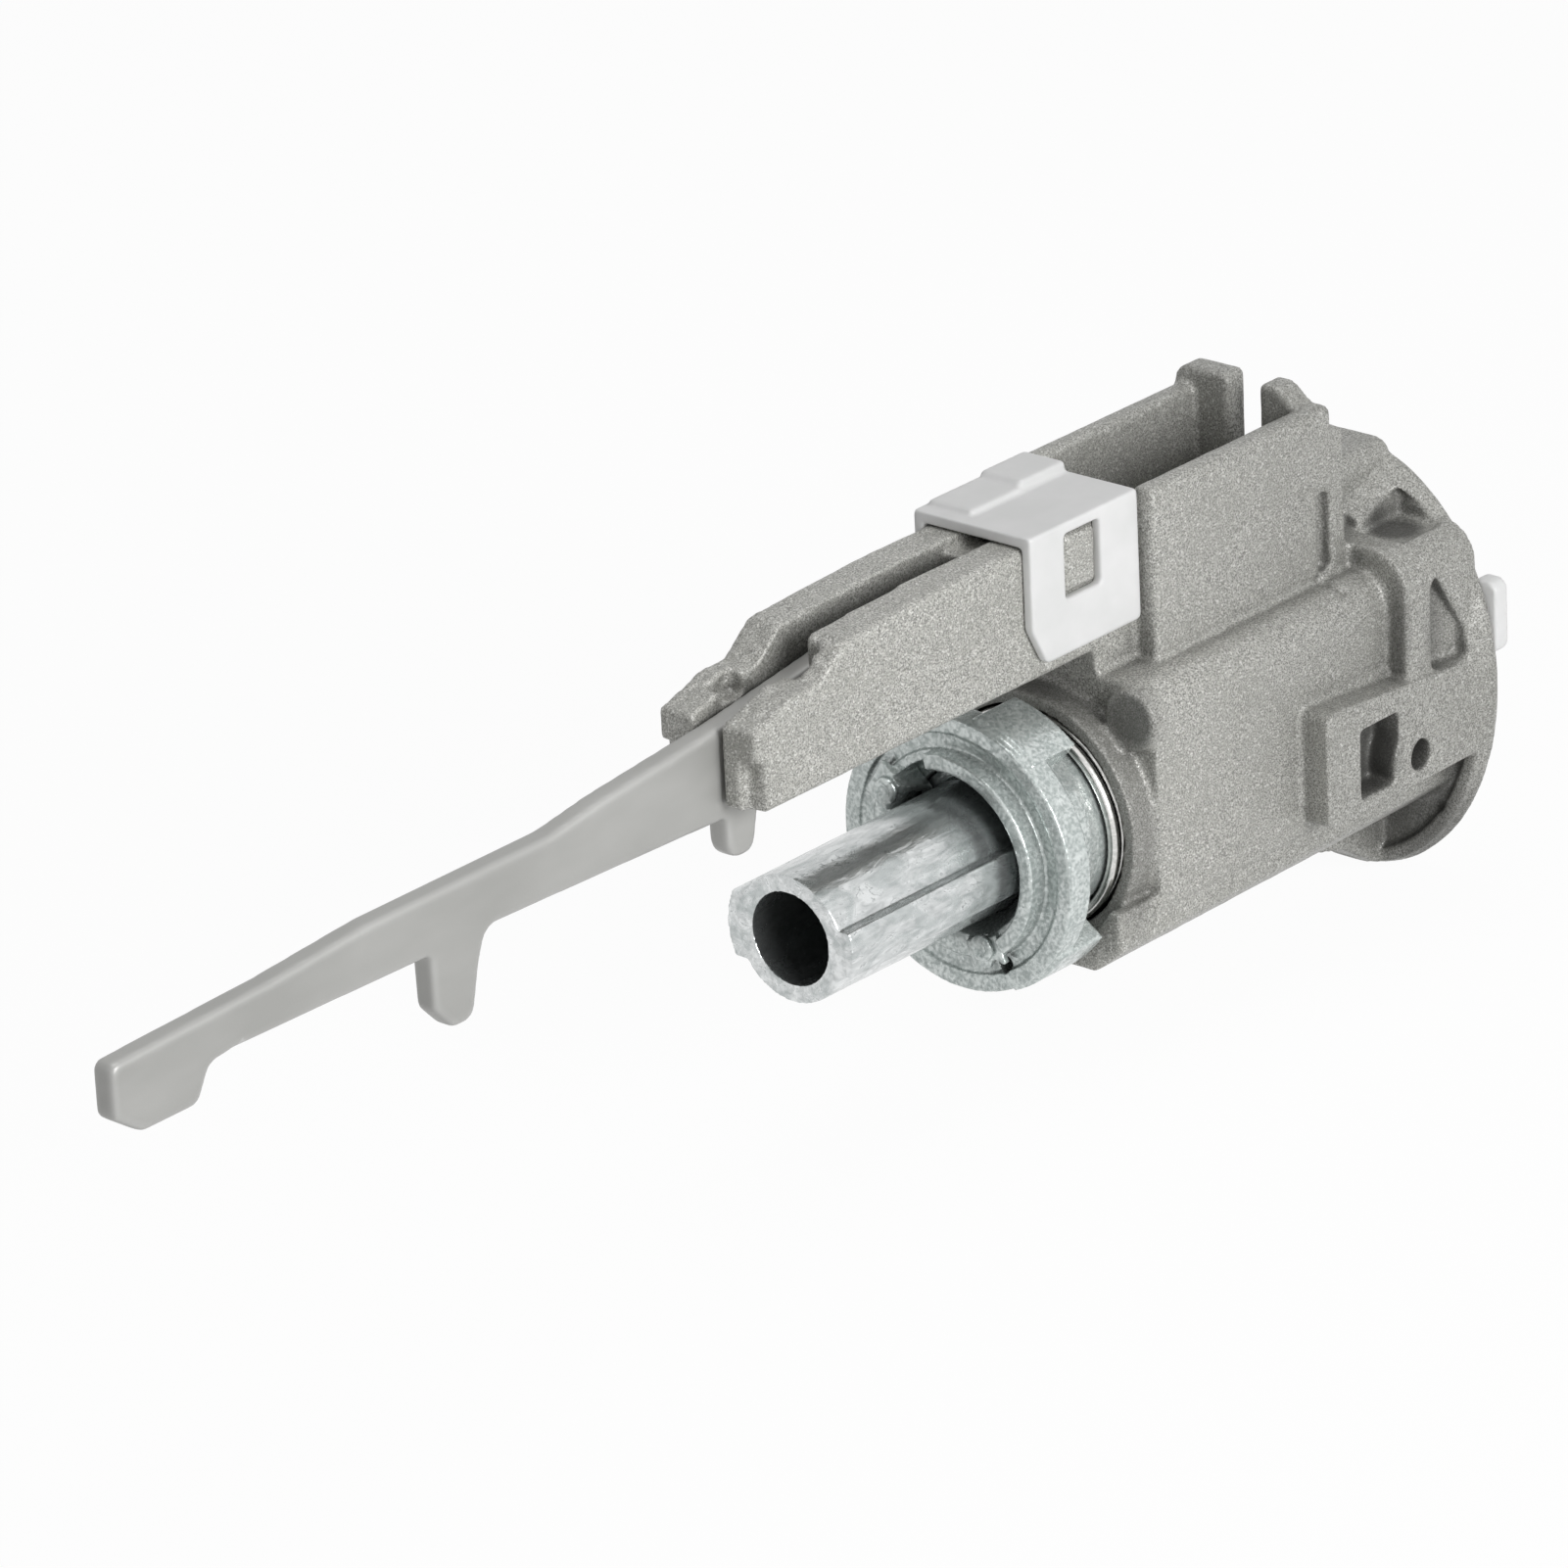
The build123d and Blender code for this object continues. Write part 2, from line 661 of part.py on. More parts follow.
def make_flange():
    """Oval flange: cone above, open lobe below, collar block, top ridge, gusset and pockets."""
    block = bar(mirrored([
        (collar_block_y, side_lug_bottom_z, 0),
        (collar_block_y, body_top_z + collar_block_rise, collar_block_radius),
    ]), collar_block_x, flange_x + 0.5)
    ridge = bar(mirrored([
        (ridge_half_width, body_top_z, 0),
        (ridge_half_width, body_top_z + ridge_rise, ridge_edge_radius),
    ]), wall_end_x - 1, flange_x + flange_thickness / 2)
    small = Ellipse(flange_half_width - cone_inset, flange_half_height - cone_inset)
    large = Ellipse(flange_half_width - flange_back_step, flange_half_height - flange_back_step)
    cone = loft([Plane.YZ.offset(cone_x) * (Pos(0, flange_z, 0) * small),
                 Plane.YZ.offset(flange_x) * (Pos(0, flange_z, 0) * large)])
    below = box(cone_x - 1, flange_x, -flange_half_width, flange_half_width,
                flange_z - flange_half_height, side_lug_bottom_z)
    rim = fillet(flange_oval(flange_x, flange_front_x, 0).edges(), flange_edge_radius)
    lobe_x = flange_x - lobe_wall_depth
    lobe = flange_oval(lobe_x, flange_x, flange_back_step)
    lobe -= flange_oval(lobe_x - 1, flange_x + 1, flange_back_step + lobe_wall)
    gusset_z = rail_bottom_z - gusset_drop
    gusset = slab([
        (flange_x - gusset_length, rail_bottom_z + 1, 0),
        (flange_x + flange_thickness / 2, rail_bottom_z + 1, 0),
        (flange_x + flange_thickness / 2, gusset_z, 0),
        (flange_x - gusset_foot_length, gusset_z, 0),
        (flange_x - gusset_waist_length, rail_bottom_z - gusset_drop / 2 - 0.6, 3.0),
        (flange_x - gusset_length, rail_bottom_z - 0.2, 0),
    ], -gusset_half_width, gusset_half_width)
    return (cone - below) + rim + (lobe & below) + gusset + block + ridge - make_pockets()


def make_side_lug():
    """Side lug with its window, which runs round the screw hole's boss."""
    lug = slab([
        (side_lug_x, side_lug_bottom_z, side_lug_edge_radius),
        (flange_x + 0.5, side_lug_bottom_z, 0),
        (flange_x + 0.5, side_lug_end_top_z, 0),
        (side_lug_x, side_lug_top_z, side_lug_edge_radius),
    ], -side_lug_y, -body_half_width + 1)
    window_z = side_lug_bottom_z + side_window_margin
    window = box(side_window_x, side_window_x + side_window_length, -side_lug_y - 1,
                 -side_lug_y + side_window_depth, window_z, window_z + side_window_height)
    boss = cross_rod(-side_lug_y - 1, 0, side_hole_radius + side_hole_boss_wall, side_hole_x, side_hole_z)
    return lug - (window - boss)


def make_snap_lugs():
    """Two lugs on the prongs' root that hold the clip by its windows."""
    lug = box(clip_window_x + snap_lug_margin, clip_window_x + clip_window_length - snap_lug_margin,
              prong_half_width - 0.5, prong_half_width + snap_lug_height,
              clip_window_bottom_z + snap_lug_margin, clip_window_top_z - snap_lug_margin)
    return both_sides(chamfer(lug.faces().sort_by(Axis.Y)[-1].edges(), 0.3))


def make_housing():
    """Die-cast housing: barrel, prongs, channel walls, flange and side lug in one piece."""
    neck = box(body_x, wall_x + 1, -prong_half_width, prong_half_width, body_foot_z, channel_floor_z)
    floor = box(wall_x, wall_end_x, -wall_inner_y - 0.5, wall_inner_y + 0.5, body_foot_z, channel_floor_z)
    housing = make_barrel() + make_prongs() + make_walls() + neck + floor + make_flange()
    housing += make_side_lug() + make_snap_lugs()
    housing -= rod(lip_x - 1, flange_front_x + 1, bore_radius)
    housing -= cross_rod(-side_lug_y - 1, -side_lug_y + side_hole_depth, side_hole_radius,
                         side_hole_x, side_hole_z)
    seat = pivot_pocket_half_width + pivot_seat_depth
    seat_radius = pivot_radius + running_clearance
    housing -= box(pivot_x - seat_radius, pivot_x + seat_radius, -seat, seat, pivot_z, prong_top_z + 1)
    housing -= cross_rod(-seat, seat, seat_radius, pivot_x, pivot_z)
    housing -= cross_rod(bore_radius - 1, body_half_width + 1, sleeve_pin_radius, sleeve_pin_x, 0)
    return housing - spring_hook_hole()


def make_lever_arm():
    """Flat blade: blunt tip, hanging hook, rounded tab by the prongs and the pivot's eye."""
    tip = pivot_x - lever_length
    low = pivot_z - lever_tip_drop
    foot = low - lever_foot_height
    hook_x = tip + lever_hook_reach
    hook_z = pivot_z - lever_hook_drop
    hook_height = low - hook_z
    tab_x = tip + lever_tab_reach
    tab_z = pivot_z - lever_tab_drop
    front = hook_x - tip
    middle = tab_x - hook_x
    rear = pivot_x - tab_x
    height = lever_tip_height
    eye = lever_eye_radius
    bend = lever_thickness
    outline = [
        (tip, low, 0.3 * bend),
        (tip + 0.083 * front, foot, 0.6 * bend),
        (tip + 0.255 * front, foot, 0.6 * bend),
        (tip + 0.296 * front, low + 0.175 * height, 0.6 * bend),
        (tip + 0.373 * front, low + 0.25 * height, bend),
        (hook_x - 0.02 * lever_hook_width, low + 0.15 * height, 0.2 * bend),
        (hook_x, hook_z + 0.345 * hook_height, 0.3 * bend),
        (hook_x + 0.367 * lever_hook_width, hook_z, 0.4 * bend),
        (hook_x + 0.796 * lever_hook_width, hook_z, 0.6 * bend),
        (hook_x + 0.98 * lever_hook_width, hook_z + 0.709 * hook_height, 0.75 * bend),
        (hook_x + 1.163 * lever_hook_width, low + 0.2 * height, 0.75 * bend),
        (tab_x - 0.03 * lever_tab_width, low, 0.15 * bend),
        (tab_x, tab_z, 0.75 * bend),
        (tab_x + 0.8 * lever_tab_width, tab_z, 0.6 * bend),
        (tab_x + lever_tab_width, low, 0.4 * bend),
        (pivot_x - 0.482 * rear, low + 0.1 * height, 3 * bend),
        (pivot_x - 0.227 * rear, pivot_z - 1.375 * eye, 2 * bend),
        (pivot_x, pivot_z - eye, 0),
        (pivot_x, pivot_z + 0.5 * eye, 0),
        (pivot_x - 0.227 * rear, pivot_z + 0.53 * eye, 1.5 * bend),
        (pivot_x - 0.649 * rear, pivot_z + 0.47 * eye, 4 * bend),
        (tab_x, low + 1.8 * height, 4 * bend),
        (hook_x + 0.587 * middle, low + 1.5 * height, 3 * bend),
        (hook_x + 0.413 * middle, low + 1.3 * height, 4 * bend),
        (tip + 0.812 * front, low + 1.3 * height, 5 * bend),
        (tip + 0.494 * front, low + 1.125 * height, 3 * bend),
        (tip, low + height, 0.4 * bend),
    ]
    half = lever_thickness / 2
    blade = slab(outline, -half, half)
    faces = blade.faces().sort_by(Axis.Y)
    blade = fillet(faces[0].edges() + faces[-1].edges(), lever_edge_radius)
    blade += cross_rod(-half, half, lever_eye_radius, pivot_x, pivot_z)
    return blade - cross_rod(-half - 1, half + 1, pivot_radius + running_clearance, pivot_x, pivot_z)


def make_pivot_pin():
    """Plain pin that lies in the open grooves of the channel."""
    reach = pivot_pocket_half_width + pivot_seat_depth - running_clearance
    pin = cross_rod(-reach, reach, pivot_radius, pivot_x, pivot_z)
    return chamfer(pin.edges().filter_by(GeomType.CIRCLE), 0.2)


def make_clip():
    """Plastic saddle that snaps over the prongs' root and keeps the pivot pin down."""
    end_x = clip_end_x - clip_end_gap
    leg = slab([
        (clip_x, clip_top_z, 0.3),
        (clip_x, clip_leg_bottom_z + clip_leg_corner, 1.0),
        (clip_x + clip_leg_taper, clip_leg_bottom_z, 0.6),
        (end_x, clip_leg_bottom_z, 0.4),
        (end_x, clip_top_z, 0.3),
    ], clip_inner_y, clip_outer_y)
    leg -= box(clip_window_x, clip_window_x + clip_window_length, clip_inner_y - 1, clip_outer_y + 1,
               clip_window_bottom_z, clip_window_top_z)
    roof_y = clip_outer_y - 0.3
    roof = box(clip_x, end_x, -roof_y, roof_y, clip_roof_z, clip_top_z)
    pad = box(clip_end_x - clip_pad_length, end_x, clip_outer_y - clip_pad_width, roof_y,
              clip_top_z - 0.2, clip_top_z + clip_pad_height)
    pad = fillet(pad.edges().filter_by(Axis.Z) + pad.edges().group_by(Axis.Z)[-1], 0.35)
    low_pad_x = clip_x + low_pad_setback
    low_pad = box(low_pad_x, low_pad_x + low_pad_length, roof_y - low_pad_width, roof_y,
                  clip_top_z - 0.2, clip_top_z + low_pad_height)
    low_pad = fillet(low_pad.edges().filter_by(Axis.Z) + low_pad.edges().group_by(Axis.Z)[-1], 0.2)
    return both_sides(leg) + roof + pad + low_pad


def make_sleeve():
    """Lock sleeve with two locking grooves, held in the housing by one pin."""
    sleeve = tube(sleeve_x, sleeve_end_x, sleeve_radius, plug_radius + running_clearance)
    half = wafer_width / 2 + locking_groove_clearance
    reach = plug_radius + locking_groove_depth
    sleeve -= box(wafer_xs[0] - wafer_pitch / 2, wafer_xs[-1] + wafer_pitch / 2, -half, half, -reach, reach)
    return sleeve - cross_rod(sleeve_radius - sleeve_pin_bite, sleeve_radius + 1, sleeve_pin_radius,
                              sleeve_pin_x, 0)


def make_sleeve_pin():
    """Pressed pin between the housing and the sleeve."""
    return cross_rod(sleeve_radius - sleeve_pin_bite, body_half_width, sleeve_pin_radius, sleeve_pin_x, 0)


def wafer_cutout(x, side):
    """Slot, ear pocket and spring pocket that one wafer needs in the plug."""
    half = wafer_thickness / 2 + wafer_slot_clearance
    half_width = wafer_width / 2 + wafer_slot_clearance
    reach = plug_radius + 1
    cutout = box(x - half, x + half, -half_width, half_width, -reach, reach)
    low, high = sorted((side * (ear_z - wafer_spring_length - 0.1), side * reach))
    cutout += box(x - half, x + half, half_width - 0.1, half_width + ear_length + 0.1, low, high)
    pocket_length = wafer_spring_length + 0.2
    pocket = Cylinder(wafer_spring_radius + wafer_spring_wire + 0.1, pocket_length)
    return cutout + Pos(x, wafer_spring_y, side * (ear_z - pocket_length / 2 + 0.1)) * pocket


def make_plug():
    """Key plug: wafer slots, keyway, shutter pocket, square drive and neck."""
    square = square_width / 2
    plug = rod(sleeve_x, plug_front_x, plug_radius)
    plug += rod(plug_head_x, plug_front_x, plug_head_radius)
    plug += rod(plug_start_x, sleeve_x, neck_radius + plug_shoulder_height)
    plug += box(drum_wall_x, sleeve_x, -square, square, -square, square)
    plug += rod(drum_wall_x - neck_length, sleeve_x, neck_radius)
    groove_end_x = drum_wall_x - running_clearance
    plug -= tube(groove_end_x - circlip_thickness - running_clearance, groove_end_x, neck_radius + 1,
                 neck_radius - circlip_groove_depth)
    plug -= box(wafer_xs[0] - wafer_pitch, plug_front_x + 1, -key_slot_width / 2, key_slot_width / 2,
                -key_slot_height / 2, key_slot_height / 2)
    for i, x in enumerate(wafer_xs):
        plug -= wafer_cutout(x, wafer_side(i))
    pocket_half = shutter_height / 2 + shutter_pocket_clearance
    plug -= box(plug_front_x - shutter_pocket_depth, plug_front_x + 1, -shutter_pin_y - 1.05,
                key_slot_width / 2 + 0.5, -pocket_half, pocket_half)
    reach = pocket_half + shutter_pin_bite
    return plug - Pos(shutter_pin_x, -shutter_pin_y, 0) * Cylinder(shutter_pin_radius, 2 * reach)


def wafer_side(i):
    """Side that a wafer's spring pushes it to: wafers point up and down in turn."""
    return 1 if i % 2 == 0 else -1


def make_wafer(x, side):
    """Flat wafer with the key's window and an ear for its spring."""
    half = wafer_thickness / 2
    wafer = box(x - half, x + half, -wafer_width / 2, wafer_width / 2, -plug_radius, plug_radius)
    wafer &= rod(x - half, x + half, plug_radius - running_clearance)
    wafer &= rod(x - half, x + half, plug_radius - running_clearance, z=-side * wafer_travel)
    low, high = sorted((side * (ear_z + 0.02), side * (ear_z + ear_height)))
    wafer += box(x - half, x + half, wafer_width / 2 - 0.3, wafer_width / 2 + ear_length, low, high)
    window_half_width = key_slot_width / 2 + wafer_window_clearance
    window_half_height = key_slot_height / 2 - wafer_window_inset
    return wafer - box(x - half - 1, x + half + 1, -window_half_width, window_half_width,
                       -window_half_height, window_half_height)


def make_wafer_spring(x, side):
    """Small coil spring that pushes one wafer by its ear."""
    pitch = (wafer_spring_length - 2 * wafer_spring_wire) / wafer_spring_turns
    spring = coil(wafer_spring_radius, wafer_spring_wire, pitch, wafer_spring_turns, (0, 0, side))
    start_z = side * (ear_z - wafer_spring_length + wafer_spring_wire)
    return Pos(x, wafer_spring_y, start_z) * spring


def make_circlip():
    """Open retaining ring in the neck's groove, behind the drum's end wall."""
    x1 = drum_wall_x - running_clearance
    x0 = x1 - circlip_thickness
    ring = tube(x0, x1, circlip_radius, neck_radius - circlip_groove_depth + running_clearance)
    return ring - box(x0 - 1, x1 + 1, -circlip_gap / 2, circlip_gap / 2, 0, circlip_radius + 1)


def make_plug_cap():
    """Thin cap on the plug's face with the key slot."""
    cap = rod(plug_front_x, plug_front_x + cap_thickness, plug_head_radius)
    cap = fillet(cap.edges().group_by(Axis.X)[-1], cap_thickness / 2)
    half_width = key_slot_width / 2 + cap_slot_margin
    half_height = key_slot_height / 2 + cap_slot_margin
    return cap - box(plug_front_x - 1, plug_front_x + 1, -half_width, half_width, -half_height, half_height)


def make_shutter():
    """Dust shutter: a flap on a knuckle behind the key slot."""
    flap = box(shutter_face_x - shutter_thickness, shutter_face_x, -shutter_pin_y,
               -shutter_pin_y + shutter_width, -shutter_height / 2, shutter_height / 2)
    flap -= box(shutter_face_x - shutter_thickness - 1, shutter_face_x + 1, -shutter_pin_y - 1,
                -shutter_pin_y + shutter_notch_reach, shutter_knuckle_height / 2, shutter_height / 2 + 1)
    knuckle = Cylinder(shutter_knuckle_radius, shutter_knuckle_height)
    knuckle -= Cylinder(shutter_pin_radius + running_clearance, shutter_knuckle_height + 2)
    flap -= Pos(shutter_pin_x, -shutter_pin_y, 0) * Cylinder(
        shutter_pin_radius + running_clearance, shutter_height + 2)
    return flap + Pos(shutter_pin_x, -shutter_pin_y, 0) * knuckle


def make_shutter_pin():
    """Hinge pin of the dust shutter."""
    reach = shutter_height / 2 + shutter_pocket_clearance + shutter_pin_bite
    return Pos(shutter_pin_x, -shutter_pin_y, 0) * Cylinder(shutter_pin_radius, 2 * reach)


def make_shutter_spring():
    """Small spring round the shutter's pin above its knuckle."""
    pitch = (shutter_spring_length - 2 * shutter_spring_wire) / shutter_spring_turns
    radius = shutter_pin_radius + running_clearance + shutter_spring_wire
    spring = coil(radius, shutter_spring_wire, pitch, shutter_spring_turns, (0, 0, 1))
    start_z = shutter_knuckle_height / 2 + shutter_spring_gap + shutter_spring_wire
    return Pos(shutter_pin_x, -shutter_pin_y, start_z) * spring


def make_gasket():
    """White plastic ring on the flange's front face with one small side tab."""
    ring = flange_oval(gasket_x, gasket_x + gasket_thickness, gasket_inset)
    edge_y = -flange_half_width + gasket_inset
    tab = box(gasket_x, gasket_x + gasket_tab_thickness, edge_y - gasket_tab_reach, edge_y + 0.7,
              gasket_tab_z - gasket_tab_height / 2, gasket_tab_z + gasket_tab_height / 2)
    ring += fillet(tab.edges().filter_by(Axis.X).group_by(Axis.Y)[0], gasket_tab_radius)
    return ring - rod(gasket_x - 1, front_x + 1, front_bore_radius)


def make_front_plate():
    """Plain front plate round the plug's face."""
    plate = flange_oval(front_x, front_end_x, front_inset)
    plate = fillet(plate.edges().group_by(Axis.X)[-1], front_edge_radius)
    return plate - rod(front_x - 1, front_end_x + 1, front_bore_radius)


pieces = {
    "housing": make_housing(),
    "lever_arm": make_lever_arm(),
    "lever_pivot_pin": make_pivot_pin(),
    "retaining_clip": make_clip(),
    "tail_shaft": make_tail_shaft(),
    "drive_plate": make_drive_plate(),
    "spring_drum": make_spring_drum(),
    "drum_rivets": make_rivets(),
    "return_spring": make_return_spring(),
    "lock_sleeve": make_sleeve(),
    "sleeve_pin": make_sleeve_pin(),
    "key_plug": make_plug(),
    "plug_circlip": make_circlip(),
    "plug_cap": make_plug_cap(),
    "shutter_flap": make_shutter(),
    "shutter_pin": make_shutter_pin(),
    "shutter_spring": make_shutter_spring(),
    "face_gasket": make_gasket(),
    "front_plate": make_front_plate(),
}
for i, x in enumerate(wafer_xs):
    pieces[f"wafer_{i + 1}"] = make_wafer(x, wafer_side(i))
    pieces[f"wafer_spring_{i + 1}"] = make_wafer_spring(x, wafer_side(i))

for name, shape in pieces.items():
    export_step(shape, f"parts/{name}.step")
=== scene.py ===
"""Looks of a vehicle door lock cylinder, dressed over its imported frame.

The cast, moulded and stamped pieces that show are modelled again from their solids with softened,
slightly uneven edges. The other pieces keep their solids, and every piece gets its own finish.
Lengths are in metres, in the frame's own axes.
"""

import logging
import math
from dataclasses import dataclass, field
from enum import Enum
from typing import Any

import bmesh
import bpy
import numpy as np
from mathutils import Matrix, Vector, noise


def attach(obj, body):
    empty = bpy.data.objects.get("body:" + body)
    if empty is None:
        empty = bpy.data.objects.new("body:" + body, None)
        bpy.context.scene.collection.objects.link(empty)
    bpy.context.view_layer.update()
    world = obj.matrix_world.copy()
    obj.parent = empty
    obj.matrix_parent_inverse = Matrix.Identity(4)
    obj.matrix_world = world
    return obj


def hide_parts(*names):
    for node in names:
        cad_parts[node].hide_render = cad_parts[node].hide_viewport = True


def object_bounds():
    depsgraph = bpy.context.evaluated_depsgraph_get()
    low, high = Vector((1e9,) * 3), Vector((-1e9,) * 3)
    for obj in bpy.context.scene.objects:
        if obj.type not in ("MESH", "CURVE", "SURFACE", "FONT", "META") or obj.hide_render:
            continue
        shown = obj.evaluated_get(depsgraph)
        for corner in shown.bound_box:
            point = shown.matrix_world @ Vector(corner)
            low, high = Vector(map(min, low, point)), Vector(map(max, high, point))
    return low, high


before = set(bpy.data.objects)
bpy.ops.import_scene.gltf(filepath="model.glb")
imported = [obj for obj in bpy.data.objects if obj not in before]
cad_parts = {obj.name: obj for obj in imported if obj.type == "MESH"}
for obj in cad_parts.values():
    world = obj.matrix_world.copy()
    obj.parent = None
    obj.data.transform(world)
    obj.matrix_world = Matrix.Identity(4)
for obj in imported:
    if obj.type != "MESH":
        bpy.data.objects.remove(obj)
CAD_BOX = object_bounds()
MM = 0.001
WELD_DISTANCE = 0.001 * MM
TINY = 1e-12

log = logging.getLogger("lock")

Colour = tuple[float, float, float]
Triple = tuple[float, float, float]

WHITE: Colour = (1.0, 1.0, 1.0)
EVEN: Triple = (1.0, 1.0, 1.0)


class Body(Enum):
    """Moving bodies of the lock that modelled pieces ride on."""

    HOUSING = "lock_housing"
    CYLINDER = "key_cylinder"
    TAIL = "output_tail"
    LEVER = "rocking_lever"


class Slot(Enum):
    """Material slots of the record."""

    CAST = "cast_housing"
    ZINC = "grey_zinc"
    BRIGHT = "bright_zinc"
    BLADE = "blade_steel"
    PIN = "pin_steel"
    SPRING = "spring_steel"
    CAP = "polished_cap"
    WAFER = "wafer_brass"
    WHITE = "white_plastic"


@dataclass(frozen=True)
class Band:
    """The range of a value that shows: nothing at the low end, rising to the gain at the high end."""

    low: float
    high: float
    gain: float = 1.0


@dataclass(frozen=True)
class Cloud:
    """A cloud noise: its size, its finer layers and their strength, its twist and its stretch."""

    size: float
    detail: float = 2.0
    rough: float = 0.5
    twist: float = 0.0
    stretch: Triple = EVEN


@dataclass(frozen=True)
class Sock:
    """A shader socket that can be used in Python expressions."""

    graph: "Graph"
    out: bpy.types.NodeSocket

    def _math(self, operation: str, *values: Any) -> "Sock":
        """Add a Math node for an operation on values."""
        node = self.graph.add("ShaderNodeMath", {"operation": operation}, dict(enumerate(values)))
        return self.graph.sock(node)

    def __add__(self, other: Any) -> "Sock":
        """Return self + other."""
        return self._math("ADD", self, other)

    def __radd__(self, other: Any) -> "Sock":
        """Return other + self."""
        return self._math("ADD", other, self)

    def __sub__(self, other: Any) -> "Sock":
        """Return self - other."""
        return self._math("SUBTRACT", self, other)

    def __rsub__(self, other: Any) -> "Sock":
        """Return other - self."""
        return self._math("SUBTRACT", other, self)

    def __mul__(self, other: Any) -> "Sock":
        """Return self * other."""
        return self._math("MULTIPLY", self, other)

    def __rmul__(self, other: Any) -> "Sock":
        """Return other * self."""
        return self._math("MULTIPLY", other, self)

    def larger(self, other: Any) -> "Sock":
        """Return the larger of two values."""
        return self._math("MAXIMUM", self, other)


class Graph:
    """Node graph of one material or of the world."""

    occlusion_samples = 6

    def __init__(self, owner: bpy.types.Material | bpy.types.World) -> None:
        """Start with an empty node tree.

        Args:
            owner: The material or the world that the graph belongs to.
        """
        owner.use_nodes = True
        self.owner = owner
        self.tree = owner.node_tree
        self.tree.nodes.clear()

    def add(self, kind: str, settings: dict[str, Any] | None = None,
            values: dict[Any, Any] | None = None) -> bpy.types.Node:
        """Add one node.

        Args:
            kind: The node's type.
            settings: The node's properties, which are set first.
            values: A value or a link for each socket, by name or by number.

        Returns:
            The new node.
        """
        node = self.tree.nodes.new(kind)
        for key, value in (settings or {}).items():
            setattr(node, key, value)
        for key, value in (values or {}).items():
            socket = node.inputs[key]
            if isinstance(value, Sock):
                self.tree.links.new(value.out, socket)
            elif socket.type == "RGBA":
                socket.default_value = (*value, 1.0)
            else:
                socket.default_value = value
        return node

    def sock(self, node: bpy.types.Node, output: int | str = 0) -> Sock:
        """Return one output of a node for use in expressions."""
        return Sock(self, node.outputs[output])

    def place(self) -> Sock:
        """Return the point on the surface, in the object's own axes."""
        return self.sock(self.add("ShaderNodeTexCoord"), "Object")

    def stretched(self, point: Sock, factors: Triple) -> Sock:
        """Return a point scaled along each axis."""
        node = self.add("ShaderNodeVectorMath", {"operation": "MULTIPLY"}, {0: point, 1: factors})
        return self.sock(node)

    def noise(self, point: Sock, cloud: Cloud) -> Sock:
        """Add a cloud noise.

        Args:
            point: The point that it is read at.
            cloud: The noise's size and layers.

        Returns:
            A value from 0 to 1.
        """
        if cloud.stretch != EVEN:
            point = self.stretched(point, cloud.stretch)
        return self.sock(self.add("ShaderNodeTexNoise", values={
            "Vector": point, "Scale": 1.0 / cloud.size, "Detail": cloud.detail,
            "Roughness": cloud.rough, "Distortion": cloud.twist}))

    def flakes(self, point: Sock, size: float) -> Sock:
        """Add a pattern of small cells and return one even chance value for each cell."""
        node = self.add("ShaderNodeTexVoronoi", values={"Vector": point, "Scale": 1.0 / size})
        return self.sock(self.add("ShaderNodeSeparateColor", values={0: self.sock(node, "Color")}))

    def share(self, value: Sock, band: Band) -> Sock:
        """Work out how much of a value shows.

        Args:
            value: The value.
            band: The range that shows, whose low end may be the larger number.

        Returns:
            0 at the band's low end and beyond, its gain at the high end and beyond.
        """
        shown = self.sock(self.add("ShaderNodeMapRange", values={
            "Value": value, "From Min": band.low, "From Max": band.high}))
        return shown if band.gain == 1.0 else shown * band.gain

    def mixed(self, factor: Sock, first: Sock | Colour, second: Sock | Colour) -> Sock:
        """Return a mix of two colours: factor 0 gives the first, 1 the second."""
        node = self.add("ShaderNodeMix", {"data_type": "RGBA"}, {0: factor, 6: first, 7: second})
        return self.sock(node, 2)

    def edges(self) -> Sock:
        """Return how much the mesh bulges: about 0.5 where flat, more on outer edges."""
        return self.sock(self.add("ShaderNodeNewGeometry"), "Pointiness")

    def openness(self, reach: float, alone: bool = True) -> Sock:
        """Return 1 where the surface is open, near 0 in deep hollows; alone looks at its own piece only."""
        settings = {"samples": self.occlusion_samples, "only_local": alone}
        return self.sock(self.add("ShaderNodeAmbientOcclusion", settings, {"Distance": reach}), "AO")

    def bump(self, height: Sock, depth: float, strength: float = 1.0) -> Sock:
        """Return the normal bent by a height from 0 to 1, whose depth is in metres."""
        node = self.add("ShaderNodeBump", values={"Strength": strength, "Distance": depth, "Height": height})
        return self.sock(node)

    def seen_directly(self) -> Sock:
        """Tell the rays that see the studio's background from those that only light the object.

        Returns:
            1 for rays of the camera, off glossy metal and through clear matter, 0 for the rest.
        """
        path = self.add("ShaderNodeLightPath")
        seen = self.sock(path, "Is Camera Ray").larger(self.sock(path, "Is Glossy Ray"))
        return seen.larger(self.sock(path, "Is Transmission Ray"))

    def blend(self, factor: Sock, first: bpy.types.Node, second: bpy.types.Node) -> Sock:
        """Return a mix of two shaders: factor 0 gives the first, 1 the second."""
        links = {0: factor, 1: self.sock(first), 2: self.sock(second)}
        return self.sock(self.add("ShaderNodeMixShader", values=links))

    def finish(self, values: dict[str, Any]) -> bpy.types.Material:
        """Close a material's graph with a surface shader.

        Args:
            values: A value or a link for each of the shader's sockets.

        Returns:
            The material.
        """
        shader = self.add("ShaderNodeBsdfPrincipled", values=values)
        self.add("ShaderNodeOutputMaterial", values={"Surface": self.sock(shader)})
        return self.owner


